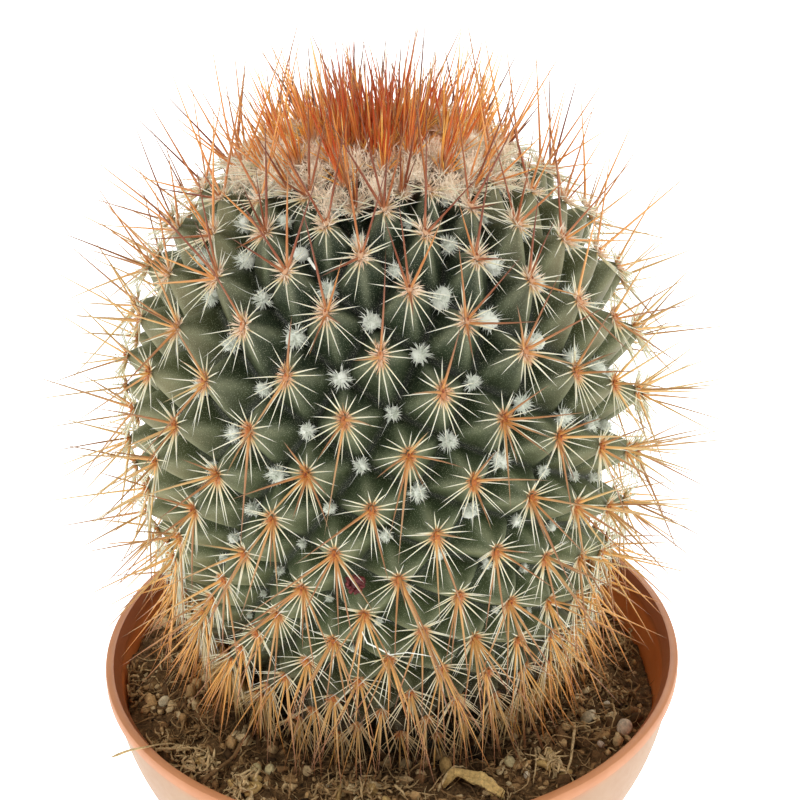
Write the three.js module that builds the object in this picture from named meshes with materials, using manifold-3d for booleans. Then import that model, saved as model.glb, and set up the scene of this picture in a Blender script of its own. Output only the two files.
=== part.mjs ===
// Potted spiny pincushion cactus: a bowl pot, its soil and one grown stem with its spines.
// Millimetres, +Z up. The origin is the centre of the pot's flat underside.

import * as THREE from 'three';
import { mergeVertices } from 'three/addons/utils/BufferGeometryUtils.js';
import Module from 'manifold-3d';

// Driving dimensions of the pot

const POT_HEIGHT = 48;
const RIM_RADIUS = 60;
const RIM_BEAD_HEIGHT = 2.4;
const RIM_OPENING_RADIUS = 58.2;
const WALL_RADIUS = 58.8;
const WALL_THICKNESS = 1.8;
const WALL_TOP_DROP = 1;
const WALL_CURVE_DEPTH = 53.5;
const FLOOR_THICKNESS = 2;
const FOOT_RADIUS = 31.5;
const FOOT_HEIGHT = 3;
const DRAIN_HOLES = 6;
const DRAIN_HOLE_RADIUS = 3.5;
const DRAIN_CIRCLE_RADIUS = 21;
const POT_SIDES = 60;

// Driving dimensions of the soil

const FIT_GAP = 0.3;
const FACET_ALLOWANCE = 0.4;
const SOIL_DROP = 9.5;
const SOIL_TILT = 0.045;
const SOIL_LUMP_HEIGHT = 1.7;
const SOIL_SIDES = 72;
const SOIL_TOP_RINGS = 10;
const SOIL_WALL_ROWS = 4;
const GRANULE_COUNT = 120;

// Driving dimensions of the stem; its height is counted from the rim

const STEM_HEIGHT = 112;
const DIVERGENCE = THREE.MathUtils.degToRad(137.5);
const FIRST_ANGLE = THREE.MathUtils.degToRad(-0.056);
const STEM_BASE_RADIUS = 28;
const ROOT_RADIUS = 23;
const ROOT_DEPTH = 17;

// Profile through the tubercle tips: order number, radius, height above the rim
const TIP_PROFILE = [
  [-106, 0, STEM_HEIGHT],
  [-65, 22, 106],
  [-40, 31.2, 100.4],
  [-15, 40, 92],
  [15, 46.7, 78],
  [50, 50, 62],
  [90, 49.3, 45],
  [130, 45.6, 30],
  [180, 41.8, 15.2],
  [225, 36.5, 3.5],
  [260, 31, -5],
  [300, 27.5, -14],
];
const CROWN_START = -88;
const LATTICE_START = -66;
const SPARSE_START = 135;
const LATTICE_END = 252;
const AXIL_DEPTH_RATIO = 0.7;
const BASE_OFFSET = 17;
const LEAN = 2;
const CROWN_TUBERCLE_HEIGHT = 4.5;
const APEX_TUBERCLE_HEIGHT = 3;
const APEX_SINK = 4.5;

// Driving dimensions of the spines

const SPINE_ROOT_RADIUS = 0.72;
const TIP_RISE = 0.35;
// Rise is the angle above the surface; upsweep and stretch grow away from the level height
const SPINE_HABITS = {
  radial: {
    length: 7.2, lengthSpread: 0.2, rise: 0.5, riseSpread: 0.3, upsweep: 0, stretch: 0, levelHeight: 0,
  },
  central: {
    length: 14.5, lengthSpread: 0.3, rise: 0.95, riseSpread: 0.35, upsweep: 0.9, stretch: 0.5,
    levelHeight: 0.43,
  },
  crown: {
    length: 12, lengthSpread: 0.5, rise: 1.2, riseSpread: 0.3, upsweep: 0.9, stretch: 0, levelHeight: 0,
  },
};
const LONGEST_SPINE = 22;
const SPINE_CLEARANCE = 0.85;
const SOIL_CLEARANCE = 1.2;
const POT_CLEARANCE = 1.5;
const SPINE_TRIES = 40;
const SHORTENING = 0.965;
const BARE_RISE = 0.2;
const LEAST_SPREAD = 0.12;

// Seeded random numbers

function seededRandom(seed) {
  let state = seed;
  return () => {
    state = (state + 0x6d2b79f5) | 0;
    let mixed = Math.imul(state ^ (state >>> 15), 1 | state);
    mixed = (mixed + Math.imul(mixed ^ (mixed >>> 7), 61 | mixed)) ^ mixed;
    return ((mixed ^ (mixed >>> 14)) >>> 0) / 4294967296;
  };
}

// Smooth curve through rows of [position, value, value ...], as values at one position

function smoothRow(rows, position) {
  const last = rows.length - 2;
  const span = Math.min(last, Math.max(0, rows.findIndex((row) => row[0] > position) - 1));
  const index = position >= rows[rows.length - 1][0] ? last : span;
  const before = rows[Math.max(0, index - 1)];
  const start = rows[index];
  const end = rows[index + 1];
  const after = rows[Math.min(rows.length - 1, index + 2)];
  const width = end[0] - start[0];
  const t = (position - start[0]) / width;
  return start.slice(1).map((value, column) => {
    const target = end[column + 1];
    const slopeIn = (target - before[column + 1]) / (end[0] - before[0]);
    const slopeOut = (after[column + 1] - value) / (after[0] - start[0]);
    const rise = slopeIn * width;
    const fall = slopeOut * width;
    const cubic = 2 * value - 2 * target + rise + fall;
    const square = 3 * target - 3 * value - 2 * rise - fall;
    return value + t * (rise + t * (square + t * cubic));
  });
}

// The radius is read through its square, which grows evenly away from the crown
const PROFILE_ROWS = TIP_PROFILE.map(([order, radius, height]) => [order, radius ** 2, height]);

function profilePoint(order) {
  const [area, height] = smoothRow(PROFILE_ROWS, order);
  return new THREE.Vector2(Math.sqrt(Math.max(0, area)), POT_HEIGHT + height);
}

// Directions on the stem at an order number and an angle round the axis

function surfaceFrame(order, angle) {
  const here = profilePoint(order);
  const slope = profilePoint(order - 1).sub(profilePoint(order + 1)).normalize();
  const around = new THREE.Vector3(Math.sin(angle), -Math.cos(angle), 0);
  const up = around.clone().multiplyScalar(slope.x).setZ(slope.y);
  const normal = around.clone().multiplyScalar(slope.y).setZ(-slope.x);
  const side = new THREE.Vector3().crossVectors(up, normal);
  const point = around.clone().multiplyScalar(here.x).setZ(here.y);
  return { point, up, normal, side };
}

// Distance between neighbouring tubercles, from the area that each one covers

function spacing(order) {
  const above = profilePoint(order - 1);
  const below = profilePoint(order + 1);
  const step = above.distanceTo(below) / 2;
  return Math.sqrt(2 * Math.PI * Math.max(1.2, profilePoint(order).x) * step);
}

const tipAngle = (order) => FIRST_ANGLE - DIVERGENCE * order;

// Half the turn between a tubercle and the one at the foot of its base
const BASE_TURN = (DIVERGENCE * 34 - Math.PI * 26) / 2;

// Lowest point between tubercles, which is the top corner of the base of one of them

function axilPoint(order) {
  const place = Math.max(order - BASE_OFFSET, CROWN_START - BASE_OFFSET);
  const { point, up, normal } = surfaceFrame(place, tipAngle(order) + BASE_TURN);
  const depth = AXIL_DEPTH_RATIO * spacing(place);
  return point.addScaledVector(normal, -depth).addScaledVector(up, -LEAN);
}

// Soil surface

function noise(x, y, seed) {
  const wave = Math.sin(x * 12.9898 + y * 78.233 + seed * 37.719) * 43758.5453;
  return wave - Math.floor(wave);
}

function smoothNoise(x, y, seed) {
  const left = Math.floor(x);
  const low = Math.floor(y);
  const blendX = THREE.MathUtils.smoothstep(x - left, 0, 1);
  const blendY = THREE.MathUtils.smoothstep(y - low, 0, 1);
  const bottom = THREE.MathUtils.lerp(noise(left, low, seed), noise(left + 1, low, seed), blendX);
  const top = THREE.MathUtils.lerp(noise(left, low + 1, seed), noise(left + 1, low + 1, seed), blendX);
  return THREE.MathUtils.lerp(bottom, top, blendY);
}

function makeGranules() {
  const random = seededRandom(41);
  return Array.from({ length: GRANULE_COUNT }, () => {
    const radius = 30 + 25 * Math.sqrt(random());
    const angle = 2 * Math.PI * random();
    const size = 1.6 + 2 * random() ** 2;
    return { x: radius * Math.cos(angle), y: radius * Math.sin(angle), size };
  });
}

const GRANULES = makeGranules();

function soilHeight(x, y) {
  const radius = Math.hypot(x, y);
  const fade = THREE.MathUtils.smoothstep(radius, STEM_BASE_RADIUS, STEM_BASE_RADIUS + 8);
  const coarse = smoothNoise(x / 9, y / 9, 1) - 0.5;
  const fine = smoothNoise(x / 3.6, y / 3.6, 2) - 0.5;
  let grain = 0;
  for (const granule of GRANULES) {
    const reach = 1 - ((x - granule.x) ** 2 + (y - granule.y) ** 2) / granule.size ** 2;
    grain = Math.max(grain, reach > 0 ? 0.6 * granule.size * Math.sqrt(reach) : 0);
  }
  const lumps = SOIL_LUMP_HEIGHT * (coarse + fine) + grain;
  return POT_HEIGHT - SOIL_DROP - SOIL_TILT * x + fade * lumps;
}

// Inner and outer wall of the bowl at a height

function wallRadius(height, inset) {
  const drop = POT_HEIGHT - WALL_TOP_DROP - height;
  const share = Math.max(0, drop) / (WALL_CURVE_DEPTH - inset);
  return (WALL_RADIUS - inset) * Math.sqrt(Math.max(0, 1 - share ** 2));
}

// One spine grows from each short edge of the ring round a tubercle's tip

class SpineBook {
  constructor() {
    this.spines = [];
  }

  clearsOthers(line, owner) {
    const limit = SPINE_CLEARANCE ** 2;
    const reach = (line.distance() + LONGEST_SPINE) ** 2;
    return this.spines.every((other) => {
      if (other.owner === owner) return true;
      if (other.line.start.distanceToSquared(line.start) > reach) return true;
      return other.line.distanceSqToLine3(line) > limit;
    });
  }

  clearsPot(line) {
    const point = new THREE.Vector3();
    for (let share = 0.2; share <= 1.001; share += 0.1) {
      line.at(share, point);
      if (point.z > POT_HEIGHT + POT_CLEARANCE) continue;
      if (point.z < soilHeight(point.x, point.y) + SOIL_CLEARANCE) return false;
      const wall = Math.min(RIM_OPENING_RADIUS, wallRadius(point.z, WALL_THICKNESS));
      if (Math.hypot(point.x, point.y) > wall - POT_CLEARANCE) return false;
    }
    return true;
  }

  // Draws a direction again, each time a little shorter, until the spine is clear.
  // Where no spine fits, the ring edge keeps a low bud.
  place(root, owner, draw) {
    let length = 1;
    for (let attempt = 0; attempt < SPINE_TRIES; attempt += 1) {
      const tip = root.clone().addScaledVector(draw(), length);
      const line = new THREE.Line3(root, tip);
      if (this.clearsPot(line) && this.clearsOthers(line, owner)) {
        this.spines.push({ line, owner });
        return tip;
      }
      length *= SHORTENING;
    }
    return root.clone().addScaledVector(owner.normal, BARE_RISE);
  }
}

function alongSurface(frame, turn) {
  return frame.up.clone().multiplyScalar(Math.cos(turn)).addScaledVector(frame.side, Math.sin(turn));
}

// Spine direction times length; each spine keeps to its own sector of the tubercle

function spineDraw(frame, azimuth, sector, kind, random) {
  const habit = SPINE_HABITS[kind];
  const height = THREE.MathUtils.clamp((frame.point.z - POT_HEIGHT) / STEM_HEIGHT, 0, 1);
  const turn = azimuth + 0.6 * sector * (random() - 0.5);
  const rise = habit.rise + habit.riseSpread * (random() - 0.5);
  const direction = alongSurface(frame, turn).multiplyScalar(Math.cos(rise))
    .addScaledVector(frame.normal, Math.sin(rise));
  direction.z += habit.upsweep * (height - habit.levelHeight);
  const outward = alongSurface(frame, azimuth);
  const leaning = Math.atan2(direction.dot(frame.side), direction.dot(frame.up)) - azimuth;
  const offset = Math.atan2(Math.sin(leaning), Math.cos(leaning));
  const kept = azimuth + THREE.MathUtils.clamp(offset, -0.45 * sector, 0.45 * sector);
  const across = Math.max(LEAST_SPREAD, direction.dot(outward));
  const along = direction.dot(frame.normal);
  direction.copy(alongSurface(frame, kept)).multiplyScalar(across)
    .addScaledVector(frame.normal, along).normalize();
  const stretch = habit.stretch * Math.cos(turn) * (height - habit.levelHeight);
  const length = habit.length * (1 + habit.lengthSpread * (random() - 0.5) + stretch);
  return direction.multiplyScalar(length);
}

// A closed mesh that grows by points and triangles

class MeshBuilder {
  constructor() {
    this.points = [];
    this.faces = [];
  }

  add(point) {
    this.points.push(point);
    return this.points.length - 1;
  }

  face(a, b, c) {
    this.faces.push(a, b, c);
  }

  // Joins two loops of the same length; the first lies above the second, seen from outside
  band(upper, lower) {
    upper.forEach((corner, i) => {
      const next = (i + 1) % upper.length;
      this.face(corner, lower[i], lower[next]);
      this.face(corner, lower[next], upper[next]);
    });
  }

  geometry() {
    const geometry = new THREE.BufferGeometry();
    const places = this.points.flatMap((point) => [point.x, point.y, point.z]);
    geometry.setAttribute('position', new THREE.Float32BufferAttribute(places, 3));
    geometry.setIndex(this.faces);
    geometry.computeVertexNormals();
    return geometry;
  }
}

// One tubercle: flanks from its base corners to a small ring, and a spine on each ring edge

function addTubercle(mesh, book, corners, frame, shape, random) {
  const offsets = corners.map((corner) => mesh.points[corner].clone().sub(frame.point));
  const turns = offsets.map((offset) => Math.atan2(offset.dot(frame.side), offset.dot(frame.up)));
  const full = 2 * Math.PI;
  const gaps = turns.map((turn, i) => {
    const next = turns[(i + 1) % turns.length];
    return (((turn - next) % full) + full) % full;
  });
  const count = corners.length;
  const ringTurns = [];
  turns.forEach((turn, i) => {
    const before = gaps[(i + count - 1) % count];
    ringTurns.push(shape.dense ? turn + before / 4 : turn + before / 2);
    if (shape.dense) ringTurns.push(turn - gaps[i] / 4);
  });
  const ring = ringTurns.map((turn) => mesh.add(
    frame.point.clone().addScaledVector(alongSurface(frame, turn), SPINE_ROOT_RADIUS)));
  const centre = mesh.add(frame.point.clone().addScaledVector(frame.normal, TIP_RISE));
  const edges = ring.length;
  corners.forEach((corner, i) => {
    const next = corners[(i + 1) % count];
    const step = shape.dense ? 2 : 1;
    const first = ring[i * step];
    const second = ring[(i * step + 1) % edges];
    mesh.face(corner, second, first);
    if (shape.dense) mesh.face(corner, ring[(i * step + 2) % edges], second);
    mesh.face(corner, next, ring[((i + 1) * step) % edges]);
  });
  ring.forEach((start, i) => {
    const end = ring[(i + 1) % edges];
    const root = new THREE.Vector3().add(mesh.points[start]).add(mesh.points[end])
      .add(mesh.points[centre]).divideScalar(3);
    const kind = shape.crown ? 'crown' : shape.dense && i % 2 === 1 ? 'radial' : 'central';
    const out = root.clone().sub(frame.point);
    const azimuth = Math.atan2(out.dot(frame.side), out.dot(frame.up));
    const sector = mesh.points[start].clone().sub(frame.point)
      .angleTo(mesh.points[end].clone().sub(frame.point));
    const draw = () => spineDraw(frame, azimuth, sector, kind, random);
    const tip = mesh.add(book.place(root, frame, draw));
    mesh.face(centre, start, tip);
    mesh.face(start, end, tip);
    mesh.face(end, centre, tip);
  });
}

// Tip of a crown tubercle, raised over the middle of its base

function crownFrame(mesh, corners, order, raise) {
  const middle = new THREE.Vector3();
  corners.forEach((corner) => middle.addScaledVector(mesh.points[corner], 1 / corners.length));
  const angle = Math.atan2(middle.x, -middle.y);
  const frame = surfaceFrame(order, angle);
  frame.point = middle.addScaledVector(frame.normal, raise);
  return frame;
}

// The stem: a spiral lattice of tubercles that counts 8 and 13 rows on the crown, 13 and 21 below

function makeCactus() {
  const mesh = new MeshBuilder();
  const book = new SpineBook();
  const random = seededRandom(7);
  const axils = new Map();
  for (let order = CROWN_START; order < LATTICE_END + 34; order += 1) {
    axils.set(order, mesh.add(axilPoint(order)));
  }
  const corner = (order) => axils.get(order);
  const middle = profilePoint(CROWN_START - BASE_OFFSET - 1);
  const apex = mesh.add(new THREE.Vector3(0, 0, middle.y - APEX_SINK));

  for (let order = LATTICE_START; order < LATTICE_END; order += 1) {
    const corners = [corner(order), corner(order + 21), corner(order + 34), corner(order + 13)];
    const frame = surfaceFrame(order, tipAngle(order));
    addTubercle(mesh, book, corners, frame, { dense: order < SPARSE_START }, random);
  }
  for (let step = 0; step < 13; step += 1) {
    const order = LATTICE_START + step;
    const corners = [corner(order), corner(order + 8), corner(order + 21)];
    const frame = crownFrame(mesh, corners, order - BASE_OFFSET + 10, CROWN_TUBERCLE_HEIGHT);
    addTubercle(mesh, book, corners, frame, { crown: true }, random);
  }
  for (let order = CROWN_START; order < LATTICE_START; order += 1) {
    const corners = [corner(order), corner(order + 8), corner(order + 21), corner(order + 13)];
    const frame = crownFrame(mesh, corners, order - BASE_OFFSET + 10, CROWN_TUBERCLE_HEIGHT);
    addTubercle(mesh, book, corners, frame, { crown: true, dense: true }, random);
  }
  for (let step = 0; step < 21; step += 1) {
    const order = CROWN_START + step;
    const next = step < 8 ? order + 13 : order - 8;
    const corners = [apex, corner(order), corner(next)];
    const frame = crownFrame(mesh, corners, order - BASE_OFFSET, APEX_TUBERCLE_HEIGHT);
    addTubercle(mesh, book, corners, frame, { crown: true }, random);
  }

  addRoot(mesh, corner);
  return mesh.geometry();
}

// Stem base below the last tubercles, standing in the hole of the soil

function addRoot(mesh, corner) {
  const rows = 34;
  const loop = [];
  for (let step = 0, order = 0; step < rows; step += 1) {
    loop.push(corner(LATTICE_END + order));
    order = order < 21 ? order + 13 : order - 21;
  }
  const top = POT_HEIGHT - SOIL_DROP + 2.5;
  const levels = [
    [STEM_BASE_RADIUS, top],
    [ROOT_RADIUS, POT_HEIGHT - SOIL_DROP - ROOT_DEPTH],
  ];
  const turns = loop.map((index) => Math.atan2(mesh.points[index].y, mesh.points[index].x));
  let above = loop;
  for (const [radius, height] of levels) {
    const below = turns.map((turn) => mesh.add(
      new THREE.Vector3(radius * Math.cos(turn), radius * Math.sin(turn), height)));
    mesh.band(above, below);
    above = below;
  }
  const bottom = mesh.add(new THREE.Vector3(0, 0, levels[levels.length - 1][1]));
  above.forEach((index, i) => mesh.face(bottom, above[(i + 1) % rows], index));
}

// Soil: a lumpy top, a wall that follows the bowl and a blind hole for the stem

function makeSoil() {
  const mesh = new MeshBuilder();
  const floor = FLOOR_THICKNESS + FIT_GAP;
  const holeFloor = POT_HEIGHT - SOIL_DROP - ROOT_DEPTH - FIT_GAP;
  const holeGrow = FIT_GAP / Math.cos(Math.PI / SOIL_SIDES) + 0.1;
  const wallInset = WALL_THICKNESS + FIT_GAP + FACET_ALLOWANCE;
  const meanRadius = wallRadius(POT_HEIGHT - SOIL_DROP, wallInset);
  const edgeRadius = (turn) => wallRadius(
    soilHeight(meanRadius * Math.cos(turn), meanRadius * Math.sin(turn)), wallInset);
  const ring = (radiusAt, heightAt) => Array.from({ length: SOIL_SIDES }, (_, i) => {
    const turn = (2 * Math.PI * i) / SOIL_SIDES;
    const radius = radiusAt(turn);
    const x = radius * Math.cos(turn);
    const y = radius * Math.sin(turn);
    return mesh.add(new THREE.Vector3(x, y, heightAt(x, y)));
  });
  const holeRadius = STEM_BASE_RADIUS + holeGrow;
  const loops = [ring(() => ROOT_RADIUS + holeGrow, () => holeFloor)];
  for (let step = 0; step <= SOIL_TOP_RINGS; step += 1) {
    const share = step / SOIL_TOP_RINGS;
    loops.push(ring((turn) => holeRadius + (edgeRadius(turn) - holeRadius) * share, soilHeight));
  }
  for (let step = 1; step <= SOIL_WALL_ROWS; step += 1) {
    const share = step / SOIL_WALL_ROWS;
    const height = (1 - share) * (POT_HEIGHT - SOIL_DROP - 4) + share * floor;
    loops.push(ring(() => wallRadius(height, wallInset), () => height));
  }
  for (let i = 1; i < loops.length; i += 1) mesh.band(loops[i - 1], loops[i]);
  const first = loops[0];
  const last = loops[loops.length - 1];
  const top = mesh.add(new THREE.Vector3(0, 0, holeFloor));
  const bottom = mesh.add(new THREE.Vector3(0, 0, floor));
  for (let i = 0; i < SOIL_SIDES; i += 1) {
    const next = (i + 1) % SOIL_SIDES;
    mesh.face(top, first[i], first[next]);
    mesh.face(bottom, last[next], last[i]);
  }
  return mesh.geometry();
}

// Pot: a turned bowl with a rim bead and a low foot, pierced by drain holes

function potProfile() {
  const points = [];
  const at = (radius, height) => points.push(new THREE.Vector2(radius, height));
  const curve = (inset, low, high, steps) => {
    for (let step = 0; step <= steps; step += 1) {
      const share = Math.sin((Math.PI / 2) * (step / steps));
      const height = low + (high - low) * share;
      at(wallRadius(height, inset), height);
    }
  };
  const beadBottom = POT_HEIGHT - RIM_BEAD_HEIGHT;
  at(0, 0);
  at(FOOT_RADIUS - 0.6, 0);
  at(FOOT_RADIUS, 0.6);
  at(FOOT_RADIUS, FOOT_HEIGHT);
  curve(0, FOOT_HEIGHT, beadBottom - 0.5, 7);
  at(RIM_RADIUS, beadBottom);
  at(RIM_RADIUS, POT_HEIGHT - 0.6);
  at(RIM_RADIUS - 0.6, POT_HEIGHT);
  at(RIM_OPENING_RADIUS + 0.5, POT_HEIGHT);
  at(RIM_OPENING_RADIUS, POT_HEIGHT - 0.5);
  const inner = points.length;
  curve(WALL_THICKNESS, FLOOR_THICKNESS, beadBottom, 8);
  points.push(...points.splice(inner).reverse());
  at(0, FLOOR_THICKNESS);
  return points;
}

function toSolid(wasm, geometry) {
  const bare = geometry.clone();
  bare.deleteAttribute('normal');
  bare.deleteAttribute('uv');
  const merged = mergeVertices(bare, 1e-4);
  return new wasm.Manifold(new wasm.Mesh({
    numProp: 3,
    vertProperties: new Float32Array(merged.attributes.position.array),
    triVerts: new Uint32Array(merged.index.array),
  }));
}

function toGeometry(solid) {
  const { vertProperties, triVerts } = solid.getMesh();
  const geometry = new THREE.BufferGeometry();
  geometry.setAttribute('position', new THREE.Float32BufferAttribute(vertProperties, 3));
  geometry.setIndex(Array.from(triVerts));
  geometry.computeVertexNormals();
  return geometry;
}

function makePot(wasm) {
  const bowl = new THREE.LatheGeometry(potProfile(), POT_SIDES);
  bowl.rotateX(Math.PI / 2);
  let solid = toSolid(wasm, bowl);
  for (let i = 0; i < DRAIN_HOLES; i += 1) {
    const turn = (2 * Math.PI * (i + 0.5)) / DRAIN_HOLES;
    const drill = new THREE.CylinderGeometry(DRAIN_HOLE_RADIUS, DRAIN_HOLE_RADIUS, 3 * FLOOR_THICKNESS, 16);
    drill.rotateX(Math.PI / 2);
    drill.translate(DRAIN_CIRCLE_RADIUS * Math.cos(turn), DRAIN_CIRCLE_RADIUS * Math.sin(turn), 0);
    solid = solid.subtract(toSolid(wasm, drill));
  }
  return toGeometry(solid);
}

// Materials

const plastic = new THREE.MeshStandardMaterial({ color: 0xc98060, roughness: 0.55, metalness: 0 });
const peat = new THREE.MeshStandardMaterial({ color: 0x3a2a1c, roughness: 0.95, metalness: 0 });
const skin = new THREE.MeshStandardMaterial({ color: 0x4f6350, roughness: 0.7, metalness: 0 });

const wasm = await Module();
wasm.setup();

function namedMesh(name, geometry, material) {
  const mesh = new THREE.Mesh(geometry, material);
  mesh.name = name;
  return mesh;
}

const plant = new THREE.Group();
plant.add(namedMesh('pot', makePot(wasm), plastic));
plant.add(namedMesh('soil', makeSoil(), peat));
plant.add(namedMesh('cactus', makeCactus(), skin));

export default plant;
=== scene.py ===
"""Looks of the potted spiny pincushion cactus.

Lengths are millimetres, as in the part's source, and meshes are made in metres. Materials, camera
and lights use metres. The stem follows the same spiral lattice and the same tip profile as the solid
that it stands for.
"""

import math
from collections import namedtuple

import bmesh
import bpy
import numpy as np
from mathutils import Matrix, Vector


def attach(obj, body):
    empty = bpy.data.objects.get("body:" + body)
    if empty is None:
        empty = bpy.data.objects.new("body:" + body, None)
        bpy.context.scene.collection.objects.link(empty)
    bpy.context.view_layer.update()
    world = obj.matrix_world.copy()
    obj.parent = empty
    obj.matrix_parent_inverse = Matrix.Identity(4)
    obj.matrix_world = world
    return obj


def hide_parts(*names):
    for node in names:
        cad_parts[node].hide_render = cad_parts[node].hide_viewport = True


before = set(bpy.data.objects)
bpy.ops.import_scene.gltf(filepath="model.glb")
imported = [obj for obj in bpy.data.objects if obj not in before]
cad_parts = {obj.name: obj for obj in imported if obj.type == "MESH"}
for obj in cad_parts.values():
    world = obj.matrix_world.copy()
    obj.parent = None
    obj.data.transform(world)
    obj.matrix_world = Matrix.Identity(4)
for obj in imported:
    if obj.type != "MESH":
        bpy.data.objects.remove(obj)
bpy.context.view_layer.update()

MM = 0.001
FULL_TURN = 2 * math.pi

# Driving values

POT_HEIGHT = 48.0
POT_SIDES = 192
RIM_RADIUS = 60.0
RIM_BEAD_HEIGHT = 2.4
RIM_OPENING_RADIUS = 58.2
WALL_RADIUS = 58.8
WALL_THICKNESS = 1.8
WALL_TOP_DROP = 1.0
WALL_CURVE_DEPTH = 53.5
WALL_ROWS = 28
FLOOR_THICKNESS = 2.0
FOOT_RADIUS = 31.5
FOOT_HEIGHT = 3.0
DRAIN_HOLES = 6
DRAIN_HOLE_RADIUS = 3.5
DRAIN_CIRCLE_RADIUS = 21.0

SOIL_LEVEL = POT_HEIGHT - 9.5
SOIL_TILT = 0.045
SOIL_LUMP_HEIGHT = 1.7
SOIL_GRIT_HEIGHT = 1.4
SOIL_WALL_GAP = 0.35
SOIL_SIDES = 360
SOIL_RINGS = 56
LITTER_EDGE = 54.0
CRUMBS = 2300
CLODS = 620
FIBRES = 2350
TWIG_STEPS = 14

STEM_HEIGHT = 112.0
DIVERGENCE = math.radians(137.5)
FIRST_ANGLE = math.radians(-0.056)
STEM_BASE_RADIUS = 28.0
ROOT_RADIUS = 23.0
ROOT_DEPTH = 17.0
# Order number of a tubercle, radius and height over the rim of its tip
TIP_PROFILE = [
    (-106, 0, STEM_HEIGHT),
    (-65, 22, 106),
    (-40, 31.2, 100.4),
    (-15, 40, 92),
    (15, 46.7, 78),
    (50, 50, 62),
    (90, 49.3, 45),
    (130, 45.6, 30),
    (180, 41.8, 15.2),
    (225, 36.5, 3.5),
    (260, 31, -5),
    (300, 27.5, -14),
]
# Order numbers where the crown and the lattice start, and where the lattice ends
CROWN_START = -88
LATTICE_START = -66
LATTICE_END = 252
# Steps in order number from a tubercle up to its base's first corner, and to a crown tubercle's tip
BASE_OFFSET = 17
CROWN_OFFSET = 7
AXIL_DEPTH_RATIO = 0.7
LEAN = 2.0
CROWN_TUBERCLE_HEIGHT = 4.5
APEX_TUBERCLE_HEIGHT = 3.0
APEX_SINK = 4.5
# Half the turn between the opposite corners of a base, which puts its tip over the middle
BASE_TURN = (DIVERGENCE * 34 - 13 * FULL_TURN) / 2

PATCH_STEPS = 12
SHOULDER = 4.6
BULGE = 0.22
TIP_ROUNDING = 0.13
RIDGE_WIDTH = 0.45

# Radial spines on each areole, their length and their rise: lattice, strip, crown and fan
RADIALS = [(19, 7.0, 0.36), (16, 6.0, 0.7), (12, 5.5, 1.0), (12, 5.5, 1.0)]
# Young spines on each areole, and their length: strip, crown, fan and youngest areoles
YOUNG_SPINES = [(7, 19.0), (19, 16.5), (14, 14.0), (8, 12.5)]
RADIAL_RADIUS = 0.165
CENTRAL_RADIUS = 0.25
CROWN_SPINE_RADIUS = 0.215
UPSWEEP = 0.9
LEVEL_HEIGHT = 0.43
RADIAL_DROOP = 0.75
CENTRAL_DROOP = 0.7
CROWN_FAN = 0.55
# Turn from the upward direction, rise above the surface, length, and the share of tubercles that have
# the spine: first low on the stem, then high on it
CENTRAL_HABITS = [
    (math.pi, 0.42, 18.5, 1.0, 0.4),
    (math.pi - 0.75, 0.95, 14.0, 0.7, 0.3),
    (math.pi + 0.75, 0.95, 14.0, 0.7, 0.3),
    (1.45, 1.08, 17.5, 0.72, 0.5),
    (-1.45, 1.08, 17.5, 0.72, 0.5),
    (0.0, 1.0, 14.0, 0.6, 1.0),
    (math.pi, 1.2, 14.0, 0.55, 0.2),
]

AREOLE_LENGTH = 2.3
AREOLE_WIDTH = 1.2
# Fibres of felt on each areole, and their reach: lattice, strip, crown, fan and youngest areoles
FELT = [(76, 1.3), (190, 2.9), (170, 2.4), (110, 1.9), (90, 1.6)]
FELT_WIDTH = 0.14
TUFT_RADIUS = 2.5
TUFT_LIFT = 1.0
# Heights, and the share of the full size that tufts have there
TUFT_FADE = [(60, 0.2), (80, 0.32), (95, 0.5), (112, 0.85), (138, 1.0), (150, 0.5)]
TUFT_FIBRES = 156
TUFT_BRISTLES = 3
CROWN_WOOL_FIBRES = 330
BUD_PLACE = (-5.5, -45.8, 91.0)
BUD_PETALS = 11
THREAD = [(-4.5, -49.6, 83.3), (-3.7, -49.9, 81.2), (-2.0, -49.4, 79.8), (0.2, -49.1, 78.0),
          (3.2, -48.8, 78.2), (6.3, -48.2, 77.1), (9.0, -47.6, 75.9)]
FLUFF = [(-11.6, -31.3, 145.4), (-11.2, -32.2, 145.0), (-10.5, -33.2, 144.3), (-10.0, -33.5, 143.9)]

# The camera and the lights, in metres and watts
CAMERA_TARGET = (0.00297, 0.0, 0.10333)
CAMERA_DISTANCE = 0.300
CAMERA_PITCH = math.radians(26.34)
CAMERA_ROLL = math.radians(-1.35)
CAMERA_LENS = 68.8
# Name, place, target, size and power
LIGHTS = [
    ("key", (-0.4, -0.35, 0.6), (0, 0, 0.1), 0.35, 1.7),
    ("fill", (0.5, -0.25, 0.5), (0.02, 0, 0.06), 0.3, 1.3),
    ("back", (0.1, 0.6, 0.5), (0, 0, 0.12), 0.5, 1.6),
]
FLOOR_SIZE = 8
FLOOR_DROP = 0.0002
FLOOR_GLOW = 1.0
WORLD_STRENGTH = 1.3
WARMTH = (1.0, 0.97, 0.9)
# Brightness of the surroundings by their height: horizon, low sky and zenith
SKY = [(0.0, 1.0), (0.2, 0.85), (0.65, 0.4)]


# Small helpers

def rgba(colour):
    """Display values of 0-255 as the linear colour that nodes take. Four numbers are linear already."""
    if len(colour) == 4:
        return colour
    shares = [value / 255 for value in colour]
    return (*(share / 12.92 if share <= 0.04045 else ((share + 0.055) / 1.055) ** 2.4
              for share in shares), 1.0)


def unit(vectors):
    return vectors / np.maximum(np.linalg.norm(vectors, axis=-1, keepdims=True), 1e-12)


def smoothstep(value, low, high):
    share = np.clip((value - low) / (high - low), 0, 1)
    return share * share * (3 - 2 * share)


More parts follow.
